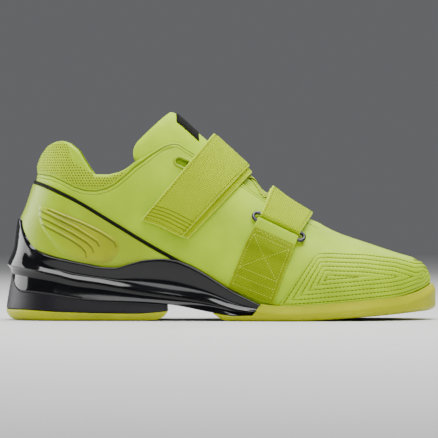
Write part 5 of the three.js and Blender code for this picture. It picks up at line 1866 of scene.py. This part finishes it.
def make_laces(material):
    """Flat laces that cross over the tongue from eyestay to eyestay."""
    pieces = []
    for i in range(LACE_CROSSINGS):
        at = LACE_FRONT - LACE_PITCH * i
        for side in (-1, 1):
            s = np.linspace(-1.15, 1.15, 44)
            w = station_of(at + side * s * LACE_PITCH / 2, UPPER_BACK, UPPER_FRONT)
            t = np.sign(s) * t_at_reach(w, np.abs(s) * LACE_REACH)
            over = np.exp(-(s / 0.4) ** 2) * (side > 0)
            lift = -UPPER_WALL - TONGUE_ROOM + 0.45 * MM + 1.25 * MM * over
            path = form_offset(w, t, lift)
            pieces.append(tube("lace", path, form_normal(w, t), 2.6 * MM, 0.58 * MM, 14))
    piece = join(pieces)
    piece.name = "laces"
    finish_piece(piece, material, ["lace_crossings"], 70)


def make_throat_seam(thread):
    """Short seams across the front of the throat."""
    line = resample(np.array([(205.5, 67.0), (209.5, 64.9), (213.5, 62.6)]) * MM, 30)
    w, t = on_side(line[:, 0], line[:, 1])
    seams = [form_seam(w, side * t, 0.1 * MM) for side in (-1, 1)]
    stitches("throat_stitching", seams, thread, 0.26 * MM, 1.9 * MM, 1.4 * MM)


def sole_edge(x):
    """Height just over the cradle and the sole's rim, where a tab starts."""
    return np.maximum(np.where(x < CRADLE_TIP, cradle_top(x), 0), rim(x)) + 0.6 * MM


def piping_edge(x):
    """Height where a tab starts, over the piping as well."""
    return np.maximum(sole_edge(x), np.where(x < 0.44 * LENGTH, piping_line(x) + PIPING_WIDTH, 0))


def make_shoe():
    skin = upper_finish()
    counter_skin = plain_upper("counter_skin", VOLT_DEEP, (0.3, 0.42, 0.0), 0.36, 0.08, 0.3)
    knit = knit_finish("knit_lining", linear(196, 212, 20), linear(120, 136, 6))
    strap_cloth = webbing_finish("strap_cloth", (0.5, 0.66, 0.0), (0.22, 0.31, 0.0), 1.25 * MM, ribs=True)
    tab_cloth = webbing_finish(
        "tab_webbing", (0.36, 0.49, 0.0), (0.12, 0.18, 0.0), 1.0 * MM, (0.52, 0.66, 0.02), rolled=True)
    lace_cloth = webbing_finish("lace_weave", (0.66, 0.82, 0.1), (0.36, 0.48, 0.0), 0.5 * MM)
    thread = thread_finish("sewing_thread", linear(208, 220, 60), linear(140, 156, 16))
    # Darker copy of the sewing thread: its colour paints the shade of the stitch grooves.
    shade_darkened_thread = thread_finish("sewing_thread_painted_shade", linear(126, 142, 20), linear(84, 98, 4))
    black_thread = thread_finish("sewing_thread_black", linear(30, 32, 16), linear(12, 13, 6))
    gloss, satin, rubber = gloss_finish(), satin_finish(), rubber_finish()
    wire, edging, pad = wire_finish(), dark_edging_finish(), pad_finish()

    make_sole(gloss, satin, rubber)
    make_upper(skin, knit)
    make_slot_rims(counter_skin)
    tongue = make_tongue(plain_upper("tongue_skin", VOLT, VOLT_DEEP, 0.48, 0.12, 0.15))
    make_label(label_finish(), black_thread)
    make_insole(knit)
    make_counter(counter_skin)
    make_piping(edging)
    make_pads(pad)
    make_overlays(overlay_finish(), shade_darkened_thread)
    make_throat_seam(shade_darkened_thread)
    lateral, medial = Loop(RING_LATERAL, -1), Loop(RING_MEDIAL, 1)
    make_ring(lateral, "wire_loop_outer_side", "ring_lateral", wire)
    make_ring(medial, "wire_loop_inner_side", "ring_medial", wire)
    make_strap("strap_over_instep", "strap_upper", STRAP_UPPER, medial, 1, strap_cloth, shade_darkened_thread)
    make_strap("strap_over_forefoot", "strap_lower", STRAP_LOWER, lateral, -1, strap_cloth, shade_darkened_thread)
    make_tab("tab_webbing_outer_side", "tab_lateral", lateral, -1, TAB_LATERAL, sole_edge, tab_cloth, thread)
    make_tab("tab_webbing_inner_side", "tab_medial", medial, 1, TAB_MEDIAL, piping_edge, tab_cloth, thread)
    make_laces(lace_cloth)


def soft_light(name, place, target, size, power):
    deselect()
    bpy.ops.object.light_add(type="AREA", location=place)
    light = bpy.context.object
    light.name = name
    light.data.shape = "RECTANGLE"
    light.data.size, light.data.size_y = size
    light.data.energy = power
    light.rotation_euler = (Vector(target) - Vector(place)).to_track_quat("-Z", "Y").to_euler()


def make_studio():
    deselect()
    bpy.ops.mesh.primitive_plane_add(size=6, location=(0, 0, 0))
    floor = bpy.context.object
    floor.name = "floor"
    floor.data.materials.append(floor_finish())
    soft_light("sky_panel", (0.1, -0.1, 1.3), (0, 0, 0.05), (1.4, 1.0), 42)
    soft_light("front_panel", (0.4, -1.6, 1.0), (0, 0, 0.05), (2.2, 0.45), 14)
    soft_light("heel_panel", (-1.0, 0.3, 0.32), (-0.12, 0, 0.06), (0.9, 0.75), 14)
    soft_light("back_panel", (0.2, 1.2, 0.9), (0, 0, 0.05), (1.4, 0.7), 6)
    world = bpy.data.worlds.new("studio")
    bpy.context.scene.world = world
    world.use_nodes = True
    background = world.node_tree.nodes["Background"]
    background.inputs["Color"].default_value = (0.93, 0.95, 1.0, 1)
    background.inputs["Strength"].default_value = 0.14


def make_camera():
    camera = bpy.data.cameras.new("photo_view")
    piece = bpy.data.objects.new("photo_view", camera)
    bpy.context.scene.collection.objects.link(piece)
    bpy.context.scene.camera = piece
    camera.lens = 479.2
    camera.sensor_width = 36
    camera.clip_start, camera.clip_end = 0.1, 20
    distance, elevation = 4.0, math.radians(0.5)
    target = Vector((-0.0017, 0.0, 0.069))
    place = target + Vector((0, -math.cos(elevation), math.sin(elevation))) * distance
    piece.location = place
    piece.rotation_euler = (target - place).to_track_quat("-Z", "Y").to_euler()


make_shoe()
make_studio()
make_camera()
